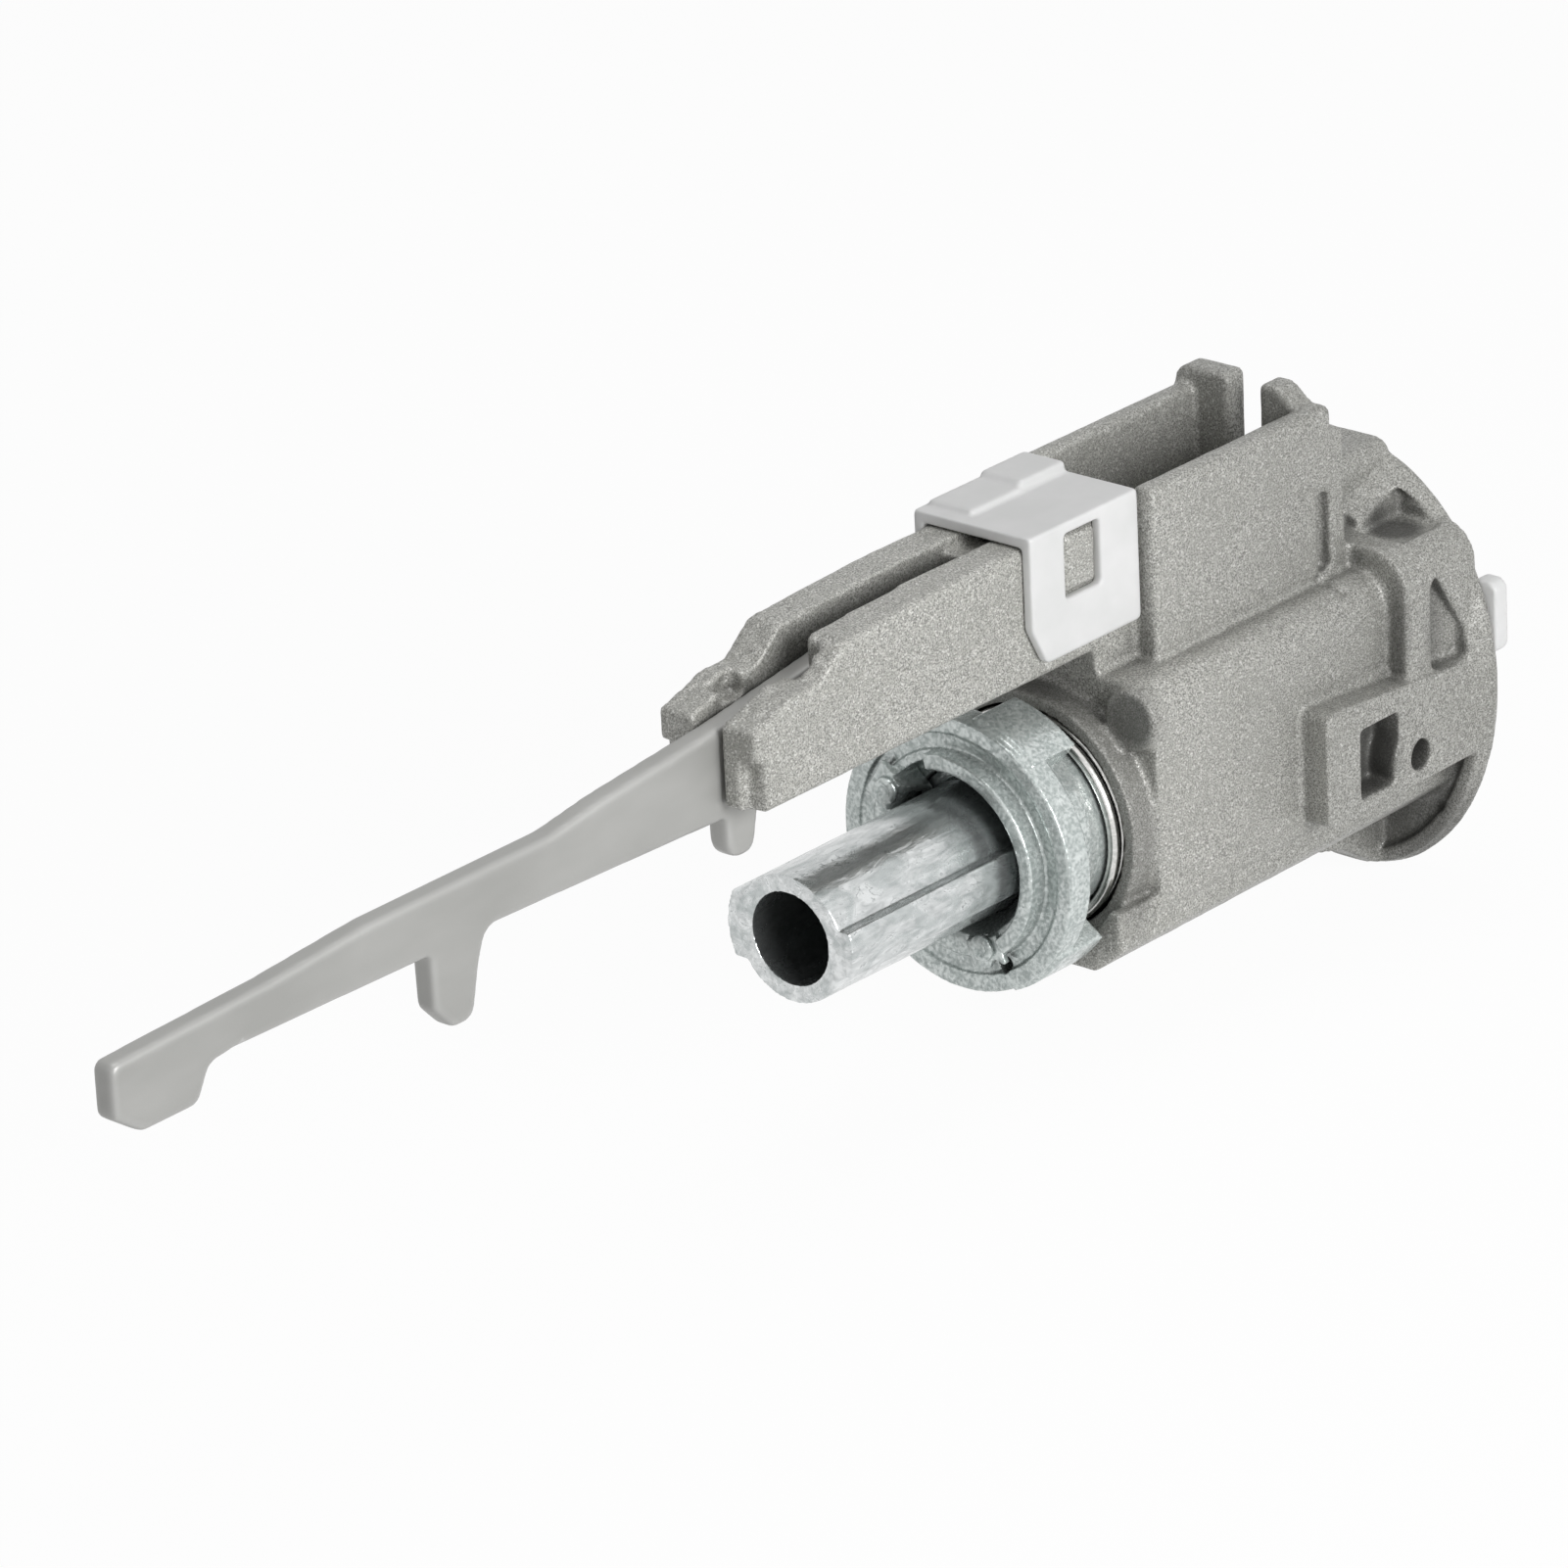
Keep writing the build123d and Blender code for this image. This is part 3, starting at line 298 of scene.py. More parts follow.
@dataclass(frozen=True)
class ShadeZone:
    """A zone of painted shade round a point, in millimetres; an axis with scale 0 doesn't count."""

    centre: Triple
    inner: float
    outer: float
    gain: float
    scale: Triple = EVEN

    def share(self, g: Graph, point: Sock) -> Sock:
        """Work out how much the zone shows.

        Args:
            g: The material's graph.
            point: The point on the surface.

        Returns:
            0 outside, up to the gain inside.
        """
        centre = tuple(c * s * MM for c, s in zip(self.centre, self.scale))
        away = g.add("ShaderNodeVectorMath", {"operation": "DISTANCE"}, {
            0: g.stretched(point, self.scale), 1: centre})
        return g.share(g.sock(away, "Value"), Band(self.outer * MM, self.inner * MM, self.gain))


@dataclass(frozen=True)
class CastFinish:
    """Raw die casting: sparkling grain with painted glints, soft cloudy tone, painted shade in hollows and
    listed zones, and a pebbled skin.
    """

    name: str
    light: Colour
    dark: Colour
    glint: Colour
    cloud_tint: Colour
    metal: float
    rough_low: float
    rough_high: float
    grain: Cloud
    pebble: Cloud
    cloud: Cloud
    glints: Band
    hollow_shade_reach: float
    shade_zones: tuple[ShadeZone, ...]
    flake_size: float = 0.13 * MM
    grain_share: float = 0.85
    speckled: Band = Band(0.38, 0.62)
    cloudy: Band = Band(0.35, 0.7, 0.4)
    hollow_shade: Band = Band(0.66, 0.2, 0.85)
    shade_tone: float = 0.2
    grain_rise: float = 0.35
    pebble_rise: float = 0.6
    flake_rise: float = 0.3
    bump_depth: float = 0.07 * MM

    def build(self) -> bpy.types.Material:
        """Build the finish.

        Returns:
            The material.
        """
        g = Graph(bpy.data.materials.new(self.name))
        point = g.place()
        grain = g.noise(point, self.grain)
        pebble = g.noise(point, self.pebble)
        cloud = g.noise(point, self.cloud)
        speckle = g.share(grain * self.grain_share + pebble * (1.0 - self.grain_share), self.speckled)
        flake = g.share(g.flakes(point, self.flake_size), self.glints)
        # Painted shade: a darkened copy of the dark tone, laid into hollows and listed zones
        shade_colour = tuple(self.shade_tone * c for c in self.dark)
        base = g.mixed(speckle, self.dark, self.light)
        base = g.mixed(g.share(cloud, self.cloudy), base, self.cloud_tint)
        # Painted highlight: bright glint specks on the flake cells
        base = g.mixed(flake, base, self.glint)
        # Painted shade in the piece's own hollows, from occlusion
        base = g.mixed(g.share(g.openness(self.hollow_shade_reach), self.hollow_shade), base, shade_colour)
        # Painted shade in the listed zones
        for shade_zone in self.shade_zones:
            base = g.mixed(shade_zone.share(g, point), base, shade_colour)
        height = grain * self.grain_rise + pebble * self.pebble_rise + flake * self.flake_rise
        roughness = speckle * (self.rough_low - self.rough_high) + self.rough_high
        return g.finish({
            "Base Color": base, "Metallic": self.metal, "Roughness": roughness,
            "Normal": g.bump(height, self.bump_depth)})


@dataclass(frozen=True)
class StreakFinish:
    """Bright die-cast zinc: flow streaks along the tube, dull patches, thin seams, painted shade in deep
    places and painted shadow from nearby pieces.
    """

    name: str
    light: Colour = (0.78, 0.80, 0.80)
    dark: Colour = (0.50, 0.52, 0.52)
    dull: Colour = (0.36, 0.40, 0.395)
    seam_and_shade_tone: Colour = (0.16, 0.18, 0.18)
    shade_black: Colour = (0.02, 0.022, 0.024)
    metal: float = 0.85
    streak: Cloud = Cloud(0.6 * MM, detail=4.0, twist=0.6, stretch=(0.3, 1.0, 1.0))
    patch: Cloud = Cloud(2.4 * MM, detail=5.0, rough=0.62, twist=1.0, stretch=(0.5, 1.0, 1.0))
    fine: Cloud = Cloud(0.1 * MM)
    streaked: Band = Band(0.3, 0.6)
    patched: Band = Band(0.5, 0.6, 0.5)
    patch_edge: float = 0.5
    seam_width: Band = Band(0.012, 0.002)
    seam_breaks: Band = Band(0.45, 0.6)
    seam_gain: float = 0.75
    hollow_shade_reach: float = 5.0 * MM
    hollow_shade: Band = Band(0.5, 0.15, 0.9)
    shade_reach: float = 12.0 * MM
    shade: Band = Band(0.75, 0.25, 0.7)
    rough: float = 0.08
    patch_rough: Band = Band(0.35, 0.65, 0.2)
    fine_rough: Band = Band(0.3, 0.7, 0.06)
    streak_rise: float = 0.35
    fine_rise: float = 0.1
    patch_rise: float = 0.55
    bump_depth: float = 0.09 * MM
    bump_strength: float = 0.9

    def build(self) -> bpy.types.Material:
        """Build the finish.

        Returns:
            The material.
        """
        g = Graph(bpy.data.materials.new(self.name))
        point = g.place()
        streak = g.noise(point, self.streak)
        patch = g.noise(point, self.patch)
        fine = g.noise(point, self.fine)
        base = g.mixed(g.share(streak, self.streaked), self.dark, self.light)
        base = g.mixed(g.share(patch, self.patched), base, self.dull)
        off_edge = (patch - self.patch_edge).larger(self.patch_edge - patch)
        seam = g.share(off_edge, self.seam_width) * g.share(streak, self.seam_breaks)
        base = g.mixed(seam * self.seam_gain, base, self.seam_and_shade_tone)
        # Painted shade in the piece's own deep places, from occlusion
        base = g.mixed(g.share(g.openness(self.hollow_shade_reach), self.hollow_shade), base, self.shade_black)
        # Painted shadow from nearby pieces, in the seam tone, from occlusion over the whole scene
        base = g.mixed(g.share(g.openness(self.shade_reach, alone=False), self.shade), base, self.seam_and_shade_tone)
        roughness = g.share(patch, self.patch_rough) + g.share(fine, self.fine_rough) + self.rough
        height = streak * self.streak_rise + fine * self.fine_rise + patch * self.patch_rise
        return g.finish({
            "Base Color": base, "Metallic": self.metal, "Roughness": roughness,
            "Normal": g.bump(height, self.bump_depth, self.bump_strength)})


@dataclass(frozen=True)
class SatinFinish:
    """Smooth satin steel with a faint tumbled grain, soft cloudy tone and brighter edges that are partly
    wear and partly painted highlight.
    """

    name: str
    tone: Colour = (0.44, 0.44, 0.425)
    shade: Colour = (0.38, 0.38, 0.365)
    edge: Colour = (0.62, 0.62, 0.61)
    metal: float = 0.3
    cloud: Cloud = Cloud(5.0 * MM, detail=3.0, stretch=(0.4, 1.0, 1.0))
    grain: Cloud = Cloud(0.16 * MM)
    cloudy: Band = Band(0.35, 0.68)
    worn_and_highlit: Band = Band(0.505, 0.56, 0.55)
    rough: float = 0.38
    cloud_rough: Band = Band(0.3, 0.7, 0.1)
    grain_rough: Band = Band(0.3, 0.7, 0.06)
    bump_depth: float = 0.008 * MM
    bump_strength: float = 0.6

    def build(self) -> bpy.types.Material:
        """Build the finish.

        Returns:
            The material.
        """
        g = Graph(bpy.data.materials.new(self.name))
        point = g.place()
        cloud = g.noise(point, self.cloud)
        grain = g.noise(point, self.grain)
        base = g.mixed(g.share(cloud, self.cloudy), self.shade, self.tone)
        # Brighter edges: partly wear, partly painted highlight
        base = g.mixed(g.share(g.edges(), self.worn_and_highlit), base, self.edge)
        roughness = g.share(cloud, self.cloud_rough) + g.share(grain, self.grain_rough) + self.rough
        return g.finish({
            "Base Color": base, "Metallic": self.metal, "Roughness": roughness,
            "Normal": g.bump(grain, self.bump_depth, self.bump_strength)})


@dataclass(frozen=True)
class MilkyFinish:
    """Milky white moulded plastic, a little translucent, with a faint haze."""

    name: str
    tone: Colour = (0.79, 0.79, 0.79)
    haze: Colour = (0.73, 0.735, 0.73)
    cloud: Cloud = Cloud(4.0 * MM, detail=3.0)
    grain: Cloud = Cloud(0.5 * MM)
    hazy: Band = Band(0.35, 0.7)
    rough: float = 0.32
    cloud_rough: Band = Band(0.3, 0.7, 0.12)
    scatter: float = 0.25
    scatter_depth: float = 0.8 * MM
    bump_depth: float = 0.012 * MM
    bump_strength: float = 0.5

    def build(self) -> bpy.types.Material:
        """Build the finish.

        Returns:
            The material.
        """
        g = Graph(bpy.data.materials.new(self.name))
        point = g.place()
        cloud = g.noise(point, self.cloud)
        grain = g.noise(point, self.grain)
        base = g.mixed(g.share(cloud, self.hazy), self.haze, self.tone)
        roughness = g.share(cloud, self.cloud_rough) + self.rough
        return g.finish({
            "Base Color": base, "Roughness": roughness, "Subsurface Weight": self.scatter,
            "Subsurface Radius": EVEN, "Subsurface Scale": self.scatter_depth,
            "Normal": g.bump(grain, self.bump_depth, self.bump_strength)})


@dataclass(frozen=True)
class WireFinish:
    """Bright metal of springs, pins, wafers and the cap, with fine drawn or stamped marks and painted shade
    in hollows.
    """

    name: str
    tone: Colour
    shade: Colour
    rough: float = 0.22
    shade_black: Colour = (0.02, 0.02, 0.02)
    mark: Cloud = Cloud(0.3 * MM, detail=3.0, stretch=(1.0, 0.35, 1.0))
    dust: Cloud = Cloud(2.5 * MM)
    marked: Band = Band(0.35, 0.65)
    hollow_shade_reach: float = 3.0 * MM
    hollow_shade: Band = Band(0.3, 0.05, 0.95)
    dust_rough: Band = Band(0.3, 0.7, 0.12)
    bump_depth: float = 0.01 * MM
    bump_strength: float = 0.5

    def build(self) -> bpy.types.Material:
        """Build the finish.

        Returns:
            The material.
        """
        g = Graph(bpy.data.materials.new(self.name))
        point = g.place()
        mark = g.noise(point, self.mark)
        dust = g.noise(point, self.dust)
        base = g.mixed(g.share(mark, self.marked), self.shade, self.tone)
        # Painted shade in hollows and where other pieces close round it, from occlusion over the whole scene
        base = g.mixed(g.share(g.openness(self.hollow_shade_reach, alone=False), self.hollow_shade), base, self.shade_black)
        roughness = g.share(dust, self.dust_rough) + self.rough
        return g.finish({
            "Base Color": base, "Metallic": 1.0, "Roughness": roughness,
            "Normal": g.bump(mark, self.bump_depth, self.bump_strength)})


# Painted shade: darker zones on the housing where shade falls, in millimetres
CAST_SHADE_ZONES: tuple[ShadeZone, ...] = (
    ShadeZone((29.4, -8.6, 9.2), 1.6, 2.7, 0.6),  # gate pad
    ShadeZone((28.0, 0.0, 0.0), 11.0, 13.5, 0.42, (3.0, 1.0, 1.0)),  # mouth
    ShadeZone((68.0, -7.0, -12.0), 3.0, 8.0, 0.55),  # lower lobe
    ShadeZone((54.2, -10.6, -1.5), 2.4, 3.6, 0.7),  # side lug's window
    ShadeZone((62.3, -10.9, 6.2), 1.3, 2.4, 0.5, (1.0, 1.0, 0.55)),  # outer core pocket
    ShadeZone((63.6, -7.2, 13.4), 1.6, 2.6, 0.8),  # inner core pocket
    ShadeZone((58.2, -11.3, 7.6), 0.5, 1.4, 0.5, (1.2, 1.0, 0.25)),  # groove beside the outer core pocket
    ShadeZone((90.0, 0.0, 0.0), 38.0, 62.0, 0.24, (1.0, 0.0, 0.0)),  # soft fall towards the flange
)
# Painted shade inside the drive plate's opening
ZINC_SHADE_ZONES: tuple[ShadeZone, ...] = (
    ShadeZone((17.0, 0.0, 0.0), 6.3, 7.6, 0.6, (0.6, 1.0, 1.0)),  # inside of the drive plate's opening
)
FINISHES: dict[Slot, bpy.types.Material] = {
    Slot.CAST: CastFinish(
        "raw_die_casting", light=(0.62, 0.615, 0.58), dark=(0.20, 0.20, 0.185), glint=(0.90, 0.90, 0.87),
        cloud_tint=(0.35, 0.35, 0.32), metal=0.15, rough_low=0.28, rough_high=0.6,
        grain=Cloud(0.12 * MM, detail=1.0, rough=0.6), pebble=Cloud(0.48 * MM),
        cloud=Cloud(6.0 * MM, detail=4.0, rough=0.6), glints=Band(0.82, 1.0, 0.7),
        hollow_shade_reach=6.0 * MM, shade_zones=CAST_SHADE_ZONES).build(),
    Slot.ZINC: CastFinish(
        "grey_zinc_casting", light=(0.74, 0.785, 0.77), dark=(0.42, 0.46, 0.45), glint=(0.92, 0.94, 0.93),
        cloud_tint=(0.36, 0.415, 0.40), metal=0.5, rough_low=0.16, rough_high=0.34,
        grain=Cloud(0.32 * MM, detail=1.0, rough=0.6), pebble=Cloud(1.28 * MM),
        cloud=Cloud(1.2 * MM, detail=4.0, rough=0.6), glints=Band(0.82, 1.0, 0.12),
        hollow_shade_reach=2.0 * MM, shade_zones=ZINC_SHADE_ZONES).build(),
    Slot.BRIGHT: StreakFinish("bright_zinc_tube").build(),
    Slot.BLADE: SatinFinish("satin_blade").build(),
    Slot.PIN: WireFinish("ground_pin", (0.62, 0.62, 0.61), (0.50, 0.50, 0.50)).build(),
    Slot.SPRING: WireFinish("drawn_wire", (0.78, 0.77, 0.75), (0.60, 0.60, 0.58), rough=0.16).build(),
    Slot.CAP: WireFinish("polished_cap", (0.80, 0.80, 0.81), (0.72, 0.72, 0.73), rough=0.1).build(),
    Slot.WAFER: WireFinish("stamped_brass", (0.74, 0.58, 0.29), (0.60, 0.46, 0.22), rough=0.3).build(),
    Slot.WHITE: MilkyFinish("milky_plastic").build(),
}


def add_object(name: str, data: bpy.types.ID) -> bpy.types.Object:
    """Add an object to the scene.

    Args:
        name: Its name.
        data: Its mesh, lamp or camera.

    Returns:
        The new object.
    """
    obj = bpy.data.objects.new(name, data)
    bpy.context.scene.collection.objects.link(obj)
    return obj


def stand_in(obj: bpy.types.Object, body: Body, node: str, slot: Slot) -> None:
    """Finish a modelled piece, let it ride on its body and let it stand for its node.

    Args:
        obj: The modelled piece.
        body: The body that it moves with.
        node: The node that it replaces.
        slot: The slot of its finish.
    """
    obj.data.materials.clear()
    obj.data.materials.append(FINISHES[slot])
    for polygon in obj.data.polygons:
        polygon.use_smooth = True
    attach(obj, body.value)
    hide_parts(node)
    log.info("modelled %s with %d faces", obj.name, len(obj.data.polygons))


def eased(share: np.ndarray) -> np.ndarray:
    """Return shares from 0 to 1 that leave 0 and reach 1 gently."""
    return share * share * (3.0 - 2.0 * share)


@dataclass
class Piece:
    """A node that keeps its solid and gets a finish."""

    node: str
    slot: Slot

    def dress(self) -> None:
        """Put the finish on the node."""
        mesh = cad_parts[self.node].data
        mesh.materials.clear()
        mesh.materials.append(FINISHES[self.slot])
        log.info("dressed %s in %s", self.node, self.slot.value)


@dataclass(frozen=True)
class Mark:
    """A casting mark along a line: a ridge, a crease, a pit or a rough zone, in millimetres."""

    line: tuple[Triple, ...]
    width: float
    rise: float
    pebble: float = 0.0
    pebble_size: float = 0.7

    def height(self, places: np.ndarray) -> np.ndarray:
        """Work out how far each point moves along its normal.

        Args:
            places: The points in metres, one to a row.

        Returns:
            The shift of each point in metres.
        """
        corners = [np.array(point) * MM for point in self.line]
        pairs = list(zip(corners, corners[1:])) or [(corners[0], corners[0])]
        away = np.full(len(places), np.inf)
        for start, end in pairs:
            run = end - start
            share = np.clip((places - start) @ run / max(run @ run, TINY), 0.0, 1.0)
            away = np.minimum(away, np.linalg.norm(places - start - share[:, None] * run, axis=1))
        near = eased(np.clip(1.0 - away / (self.width * MM), 0.0, 1.0))
        shift = near * self.rise * MM
        if self.pebble:
            for index in np.flatnonzero(near > 0.0):
                bumpy = noise.noise(Vector(places[index]) / (self.pebble_size * MM))
                shift[index] += near[index] * self.pebble * MM * bumpy
        return shift


@dataclass
class SoftenedPiece:
    """A piece modelled again from its solid, with rounded and slightly uneven edges."""

    node: str
    slot: Slot
    body: Body
    voxel: float
    smoothing: int = 8
    keep: float = 1.0
    wobble: float = 0.0
    marks: tuple[Mark, ...] = ()
    smooth_factor: float = 0.5
    wobble_size: float = 2.2 * MM
    fine_wobble: float = 0.5
    fine_steps: float = 2.3

    def copy_solid(self) -> bpy.types.Object:
        """Copy the solid's mesh into a new welded object.

        Returns:
            The new object.
        """
        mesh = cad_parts[self.node].data.copy()
        work = bmesh.new()
        work.from_mesh(mesh)
        bmesh.ops.remove_doubles(work, verts=work.verts, dist=WELD_DISTANCE)
        work.to_mesh(mesh)
        work.free()
        return add_object(f"cast_{self.node}", mesh)

    def soften(self, obj: bpy.types.Object) -> None:
        """Round the edges by remeshing and smoothing.

        Args:
            obj: The object to soften.
        """
        remesh = obj.modifiers.new("remesh", "REMESH")
        remesh.mode = "VOXEL"
        remesh.voxel_size = self.voxel
        remesh.use_smooth_shade = True
        smooth = obj.modifiers.new("smooth", "SMOOTH")
        smooth.factor = self.smooth_factor
        smooth.iterations = self.smoothing
        if self.keep < 1.0:
            thin = obj.modifiers.new("thin", "DECIMATE")
            thin.ratio = self.keep
        graph = bpy.context.evaluated_depsgraph_get()
        result = bpy.data.meshes.new_from_object(obj.evaluated_get(graph))
        obj.modifiers.clear()
        obj.data = result

    def roughen(self, obj: bpy.types.Object) -> None:
        """Move each point a little along its normal, as an uneven casting has it, and work in the marks.

        Args:
            obj: The object to roughen.
        """
        mesh = obj.data
        count = len(mesh.vertices)
        places = np.empty(3 * count, np.float32)
        normals = np.empty(3 * count, np.float32)
        mesh.vertices.foreach_get("co", places)
        mesh.vertex_normals.foreach_get("vector", normals)
        places = places.reshape(-1, 3).astype(float)
        normals = normals.reshape(-1, 3).astype(float)
        height = np.zeros(count)
        if self.wobble:
            height += self.wobble * np.array([
                noise.noise(step) + self.fine_wobble * noise.noise(self.fine_steps * Vector(step))
                for step in places / self.wobble_size])
        for mark in self.marks:
            height += mark.height(places)
        places += normals * height[:, None]
        mesh.vertices.foreach_set("co", places.ravel())
        mesh.update()

    def dress(self) -> None:
        """Build the piece and let it stand for its node."""
        obj = self.copy_solid()
        self.soften(obj)
        if self.wobble or self.marks:
            self.roughen(obj)
        stand_in(obj, self.body, self.node, self.slot)


HOUSING_MARKS: tuple[Mark, ...] = (
    Mark(((19.91, -4.65, 15.96),), 0.4, -0.28),  # pits on the near prong
    Mark(((18.89, -4.65, 19.62),), 0.4, -0.2),
    Mark(((-7.0, -3.0, 20.0), (2.0, -3.0, 23.5)), 2.6, 0.0, pebble=0.22),  # pebbled tips of the prongs
    Mark(((-7.0, 3.0, 20.0), (4.0, 3.0, 23.5)), 2.6, 0.0, pebble=0.22),
    Mark(((50.7, -6.7, 19.25), (55.5, -6.7, 18.6)), 0.35, -0.16),  # crease on the near wall
    Mark(((54.0, -4.8, 11.5), (54.6, -6.9, 11.6), (54.9, -9.0, 11.2)), 0.6, -0.42),  # at the wall's foot
    Mark(((54.9, -9.0, 11.2), (55.2, -9.9, 9.6)), 0.35, -0.2),
    Mark(((50.9, -9.7, 4.0), (58.6, -10.1, 3.7)), 0.45, 0.22),  # parting line over the side lug
    Mark(((48.0, -12.8, 3.9), (48.1, -12.8, -2.0)), 0.4, 0.14, pebble=0.3),  # seam on the side lug
    Mark(((66.8, -8.8, -10.4),), 1.1, -0.35),  # dimple in the lower lobe
    Mark(((30.0, -10.3, 6.8), (30.0, -10.5, 3.6), (30.2, -10.5, 0.4)), 0.55, -0.35),  # gate's crease
    Mark(((30.4, -8.9, 12.4), (30.4, -5.5, 12.2)), 1.6, 0.0, pebble=0.3),  # rough skin above the gate
)


@dataclass
class CastHousing:
    """The housing and what stays with it: clip, gasket, pins, spring, sleeve and front plate."""

    voxel: float = 0.24 * MM
    keep: float = 0.55
    wobble: float = 0.03 * MM
    smoothing: int = 4
    clip_voxel: float = 0.16 * MM
    gasket_voxel: float = 0.25 * MM
    solids: tuple[tuple[str, Slot], ...] = (
        ("lever_pivot_pin", Slot.PIN), ("return_spring", Slot.SPRING), ("lock_sleeve", Slot.ZINC),
        ("sleeve_pin", Slot.PIN), ("front_plate", Slot.CAST))

    def build(self) -> None:
        """Model and dress the housing's pieces."""
        SoftenedPiece("housing", Slot.CAST, Body.HOUSING, self.voxel, self.smoothing, self.keep,
                      self.wobble, HOUSING_MARKS).dress()
        for node, voxel in (("retaining_clip", self.clip_voxel), ("face_gasket", self.gasket_voxel)):
            SoftenedPiece(node, Slot.WHITE, Body.HOUSING, voxel, self.smoothing).dress()
        for node, slot in self.solids:
            Piece(node, slot).dress()


@dataclass
class LeverArm:
    """The long blade."""

    voxel: float = 0.22 * MM
    smoothing: int = 8

    def build(self) -> None:
        """Model and dress the blade."""
        SoftenedPiece("lever_arm", Slot.BLADE, Body.LEVER, self.voxel, self.smoothing).dress()


@dataclass
class PeenedRivets:
    """Two rivets whose heads were hammered: uneven sides, a raised ring and a rough middle.

    Each row of the profile is a share of the head's radius and a depth in millimetres.
    """

    angles: tuple[float, float] = (33.0, 248.0)
    circle_radius: float = 7.2 * MM
    head_radius: float = 1.12 * MM
    head_x: float = 17.95 * MM
    flats: int = 7
    round_share: float = 0.6
    waves: float = 3.0
    unevenness: float = 0.05
    segments: int = 56
    shank_share: float = 0.53
    chips: float = 0.09 * MM
    chip_size: float = 0.45 * MM
    chip_depth: float = 0.4
    profile: tuple[tuple[float, float], ...] = (
        (0.10, 0.20), (0.26, 0.21), (0.40, 0.17), (0.52, 0.05), (0.64, 0.0), (0.76, 0.01), (0.88, 0.06),
        (0.96, 0.15), (1.0, 0.27), (1.0, 0.45), (0.53, 0.47), (0.53, 5.85))

    def outline(self, turn: float, angle: float) -> float:
        """Work out the head's radius in one direction.

        Args:
            turn: The direction, round the head.
            angle: The rivet's place round the barrel, which makes each head different.

        Returns:
            The radius as a share of the head's usual radius.
        """
        phase = (turn * self.flats / math.tau + angle) % 1.0
        flat = math.cos(math.pi / self.flats) / math.cos((phase - 0.5) * math.tau / self.flats)
        wave = 0.5 + 0.5 * math.sin(self.waves * turn + angle)
        return (self.round_share + (1.0 - self.round_share) * flat
                + self.unevenness * wave - self.unevenness)

    def ring_point(self, share: float, depth: float, turn: float, angle: float) -> Vector:
        """Place one point of a rivet's ring.

        Args:
            share: The ring's share of the head's radius.
            depth: The ring's depth in millimetres.
            turn: The point's direction, round the head.
            angle: The rivet's place round the barrel, turned from +Y towards +Z.

        Returns:
            The point.
        """
        radius = share * self.head_radius
        if share > self.shank_share:
            radius *= self.outline(turn, angle)
        centre = Vector((0.0, math.cos(angle), math.sin(angle))) * self.circle_radius
        point = centre + Vector((
            self.head_x + depth * MM, math.cos(turn) * radius, math.sin(turn) * radius))
        if depth < self.chip_depth:
            point.x += self.chips * max(0.0, noise.noise(point / self.chip_size))
        return point

    def add_rivet(self, work: bmesh.types.BMesh, angle: float) -> None:
        """Add one rivet.

        Args:
            work: The mesh that it is added to.
            angle: Its place round the barrel, turned from +Y towards +Z.
        """
        turns = [math.tau * step / self.segments for step in range(self.segments)]
        rings = [[work.verts.new(self.ring_point(share, depth, turn, angle)) for turn in turns]
                 for share, depth in self.profile]
        for first, second in zip(rings, rings[1:]):
            for step in range(self.segments):
                after = (step + 1) % self.segments
                work.faces.new((first[step], first[after], second[after], second[step]))
        work.faces.new(rings[0])
        work.faces.new(list(reversed(rings[-1])))

    def build(self) -> None:
        """Model the rivets as one piece."""
        work = bmesh.new()
        for angle in self.angles:
            self.add_rivet(work, math.radians(angle))
        bmesh.ops.recalc_face_normals(work, faces=work.faces)
        mesh = bpy.data.meshes.new("peened_rivets")
        work.to_mesh(mesh)
        work.free()
        stand_in(add_object("peened_rivets", mesh), Body.CYLINDER, "drum_rivets", Slot.ZINC)


@dataclass
class TailAndPlate:
    """Tail tube, drive plate, drum and rivets."""

    voxel: float = 0.13 * MM
    keep: float = 0.6
    wobble: float = 0.016 * MM
    tail_smoothing: int = 4
    plate_smoothing: int = 3
    drum_voxel: float = 0.2 * MM

    def build(self) -> None:
        """Model and dress the tail and what turns with the plate."""
        SoftenedPiece("tail_shaft", Slot.BRIGHT, Body.TAIL, self.voxel, self.tail_smoothing,
                      self.keep, self.wobble).dress()
        SoftenedPiece("drive_plate", Slot.ZINC, Body.CYLINDER, self.voxel, self.plate_smoothing,
                      self.keep, self.wobble).dress()
        SoftenedPiece("spring_drum", Slot.ZINC, Body.CYLINDER, self.drum_voxel,
                      self.plate_smoothing).dress()
        PeenedRivets().build()


@dataclass
class KeyCylinder:
    """The key plug, its wafers and springs, and the dust shutter."""

    wafers: int = 6
    solids: tuple[tuple[str, Slot], ...] = (
        ("key_plug", Slot.ZINC), ("plug_circlip", Slot.SPRING), ("plug_cap", Slot.CAP),
        ("shutter_flap", Slot.CAP), ("shutter_pin", Slot.PIN), ("shutter_spring", Slot.SPRING))

    def build(self) -> None:
        """Dress the plug's pieces."""
        for node, slot in self.solids:
            Piece(node, slot).dress()
        for number in range(1, self.wafers + 1):
            Piece(f"wafer_{number}", Slot.WAFER).dress()
            Piece(f"wafer_spring_{number}", Slot.SPRING).dress()


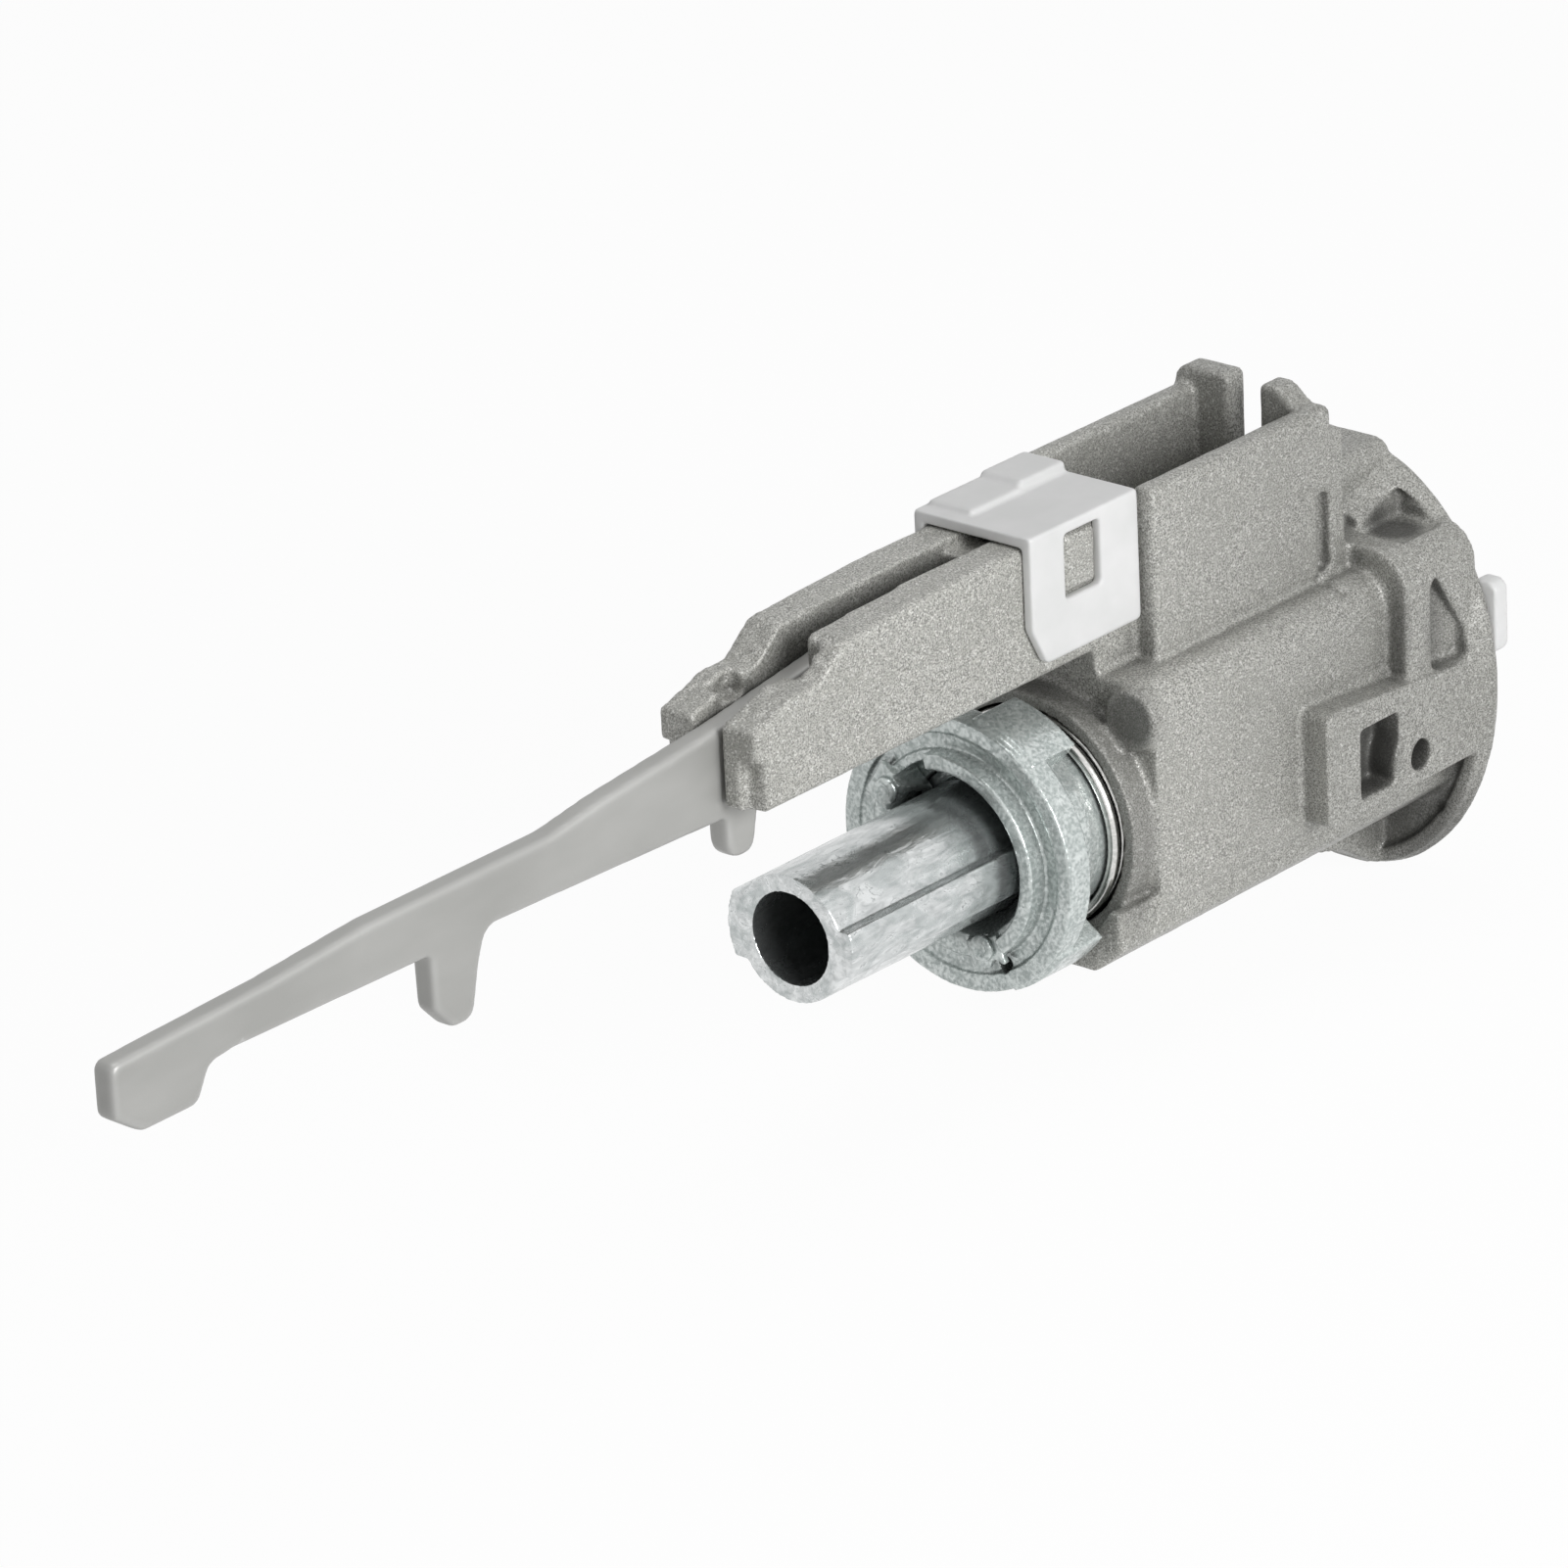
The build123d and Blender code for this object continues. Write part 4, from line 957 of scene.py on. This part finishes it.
@dataclass
class Camera:
    """The photograph's camera, with its angles in degrees and its film's width in millimetres."""

    azimuth: float = 48.2
    elevation: float = 22.7
    roll: float = -2.9
    place: Triple = (-0.46200, -0.41327, 0.27154)
    focal_pixels: float = 9500.0
    frame_pixels: float = 1601.0
    film_width: float = 36.0
    near_limit: float = 0.01
    far_limit: float = 20.0

    def build(self) -> None:
        """Add the camera and use it."""
        a, e, r = (math.radians(v) for v in (self.azimuth, self.elevation, self.roll))
        back = Vector((-math.sin(a) * math.cos(e), -math.cos(a) * math.cos(e), math.sin(e)))
        level = Vector((math.cos(a), -math.sin(a), 0.0))
        upright = back.cross(level)
        right = level * math.cos(r) + upright * math.sin(r)
        up = upright * math.cos(r) - level * math.sin(r)
        data = bpy.data.cameras.new("photo_camera")
        data.sensor_fit = "HORIZONTAL"
        data.sensor_width = self.film_width
        data.lens = self.film_width * self.focal_pixels / self.frame_pixels
        data.clip_start = self.near_limit
        data.clip_end = self.far_limit
        camera = add_object("photo_camera", data)
        turned = Matrix((right, up, back)).transposed().to_4x4()
        camera.matrix_world = Matrix.Translation(self.place) @ turned
        bpy.context.scene.camera = camera


@dataclass
class Softbox:
    """One area lamp that points at the object."""

    name: str
    place: Triple
    size: float
    power: float
    target: Triple = (0.01, 0.0, 0.01)

    def build(self) -> None:
        """Add the lamp."""
        data = bpy.data.lights.new(self.name, "AREA")
        data.shape = "SQUARE"
        data.size = self.size
        data.energy = self.power
        lamp = add_object(self.name, data)
        lamp.location = self.place
        direction = Vector(self.target) - Vector(self.place)
        lamp.rotation_euler = direction.to_track_quat("-Z", "Y").to_euler()


@dataclass
class Studio:
    """Pale floor, soft world light and lamps."""

    floor_size: float = 6.0
    floor_tone: float = 0.9
    floor_glow: float = 0.955
    world_light: float = 0.2
    lamps: list[Softbox] = field(default_factory=lambda: [
        Softbox("key_box", (-0.04, -0.40, 0.17), 0.20, 1.35),
        Softbox("top_box", (0.02, 0.04, 0.55), 0.30, 0.7),
    ])

    def build_floor(self) -> None:
        """Add the floor, which is nearly white where seen directly and takes the object's shadow."""
        low = CAD_BOX[0][2]
        half = self.floor_size / 2
        corners = [(-half, -half, low), (half, -half, low), (half, half, low), (-half, half, low)]
        mesh = bpy.data.meshes.new("studio_floor")
        mesh.from_pydata(corners, [], [(0, 1, 2, 3)])
        g = Graph(bpy.data.materials.new("studio_floor"))
        shade = g.add("ShaderNodeBsdfDiffuse", values={"Color": (self.floor_tone,) * 3})
        glow = g.add("ShaderNodeEmission", values={"Color": WHITE, "Strength": 1.0})
        both = g.blend(g.seen_directly() * self.floor_glow, shade, glow)
        g.add("ShaderNodeOutputMaterial", values={"Surface": both})
        mesh.materials.append(g.owner)
        add_object("studio_floor", mesh)

    def build_world(self) -> None:
        """Set a plain world, which is white where seen directly and lights the object softly."""
        world = bpy.data.worlds.new("studio_world")
        g = Graph(world)
        light = g.add("ShaderNodeBackground", values={"Color": WHITE, "Strength": self.world_light})
        white = g.add("ShaderNodeBackground", values={"Color": WHITE, "Strength": 1.0})
        g.add("ShaderNodeOutputWorld", values={"Surface": g.blend(g.seen_directly(), light, white)})
        bpy.context.scene.world = world

    def build(self) -> None:
        """Add the whole studio."""
        self.build_floor()
        self.build_world()
        for lamp in self.lamps:
            lamp.build()


def main() -> None:
    """Build the lock's looks, the camera and the studio."""
    logging.basicConfig(level=logging.INFO, format="%(name)s: %(message)s")
    for part in (CastHousing(), LeverArm(), TailAndPlate(), KeyCylinder()):
        part.build()
    Camera().build()
    Studio().build()
    bpy.context.scene.view_settings.view_transform = "Standard"


if __name__ == "__main__":
    main()
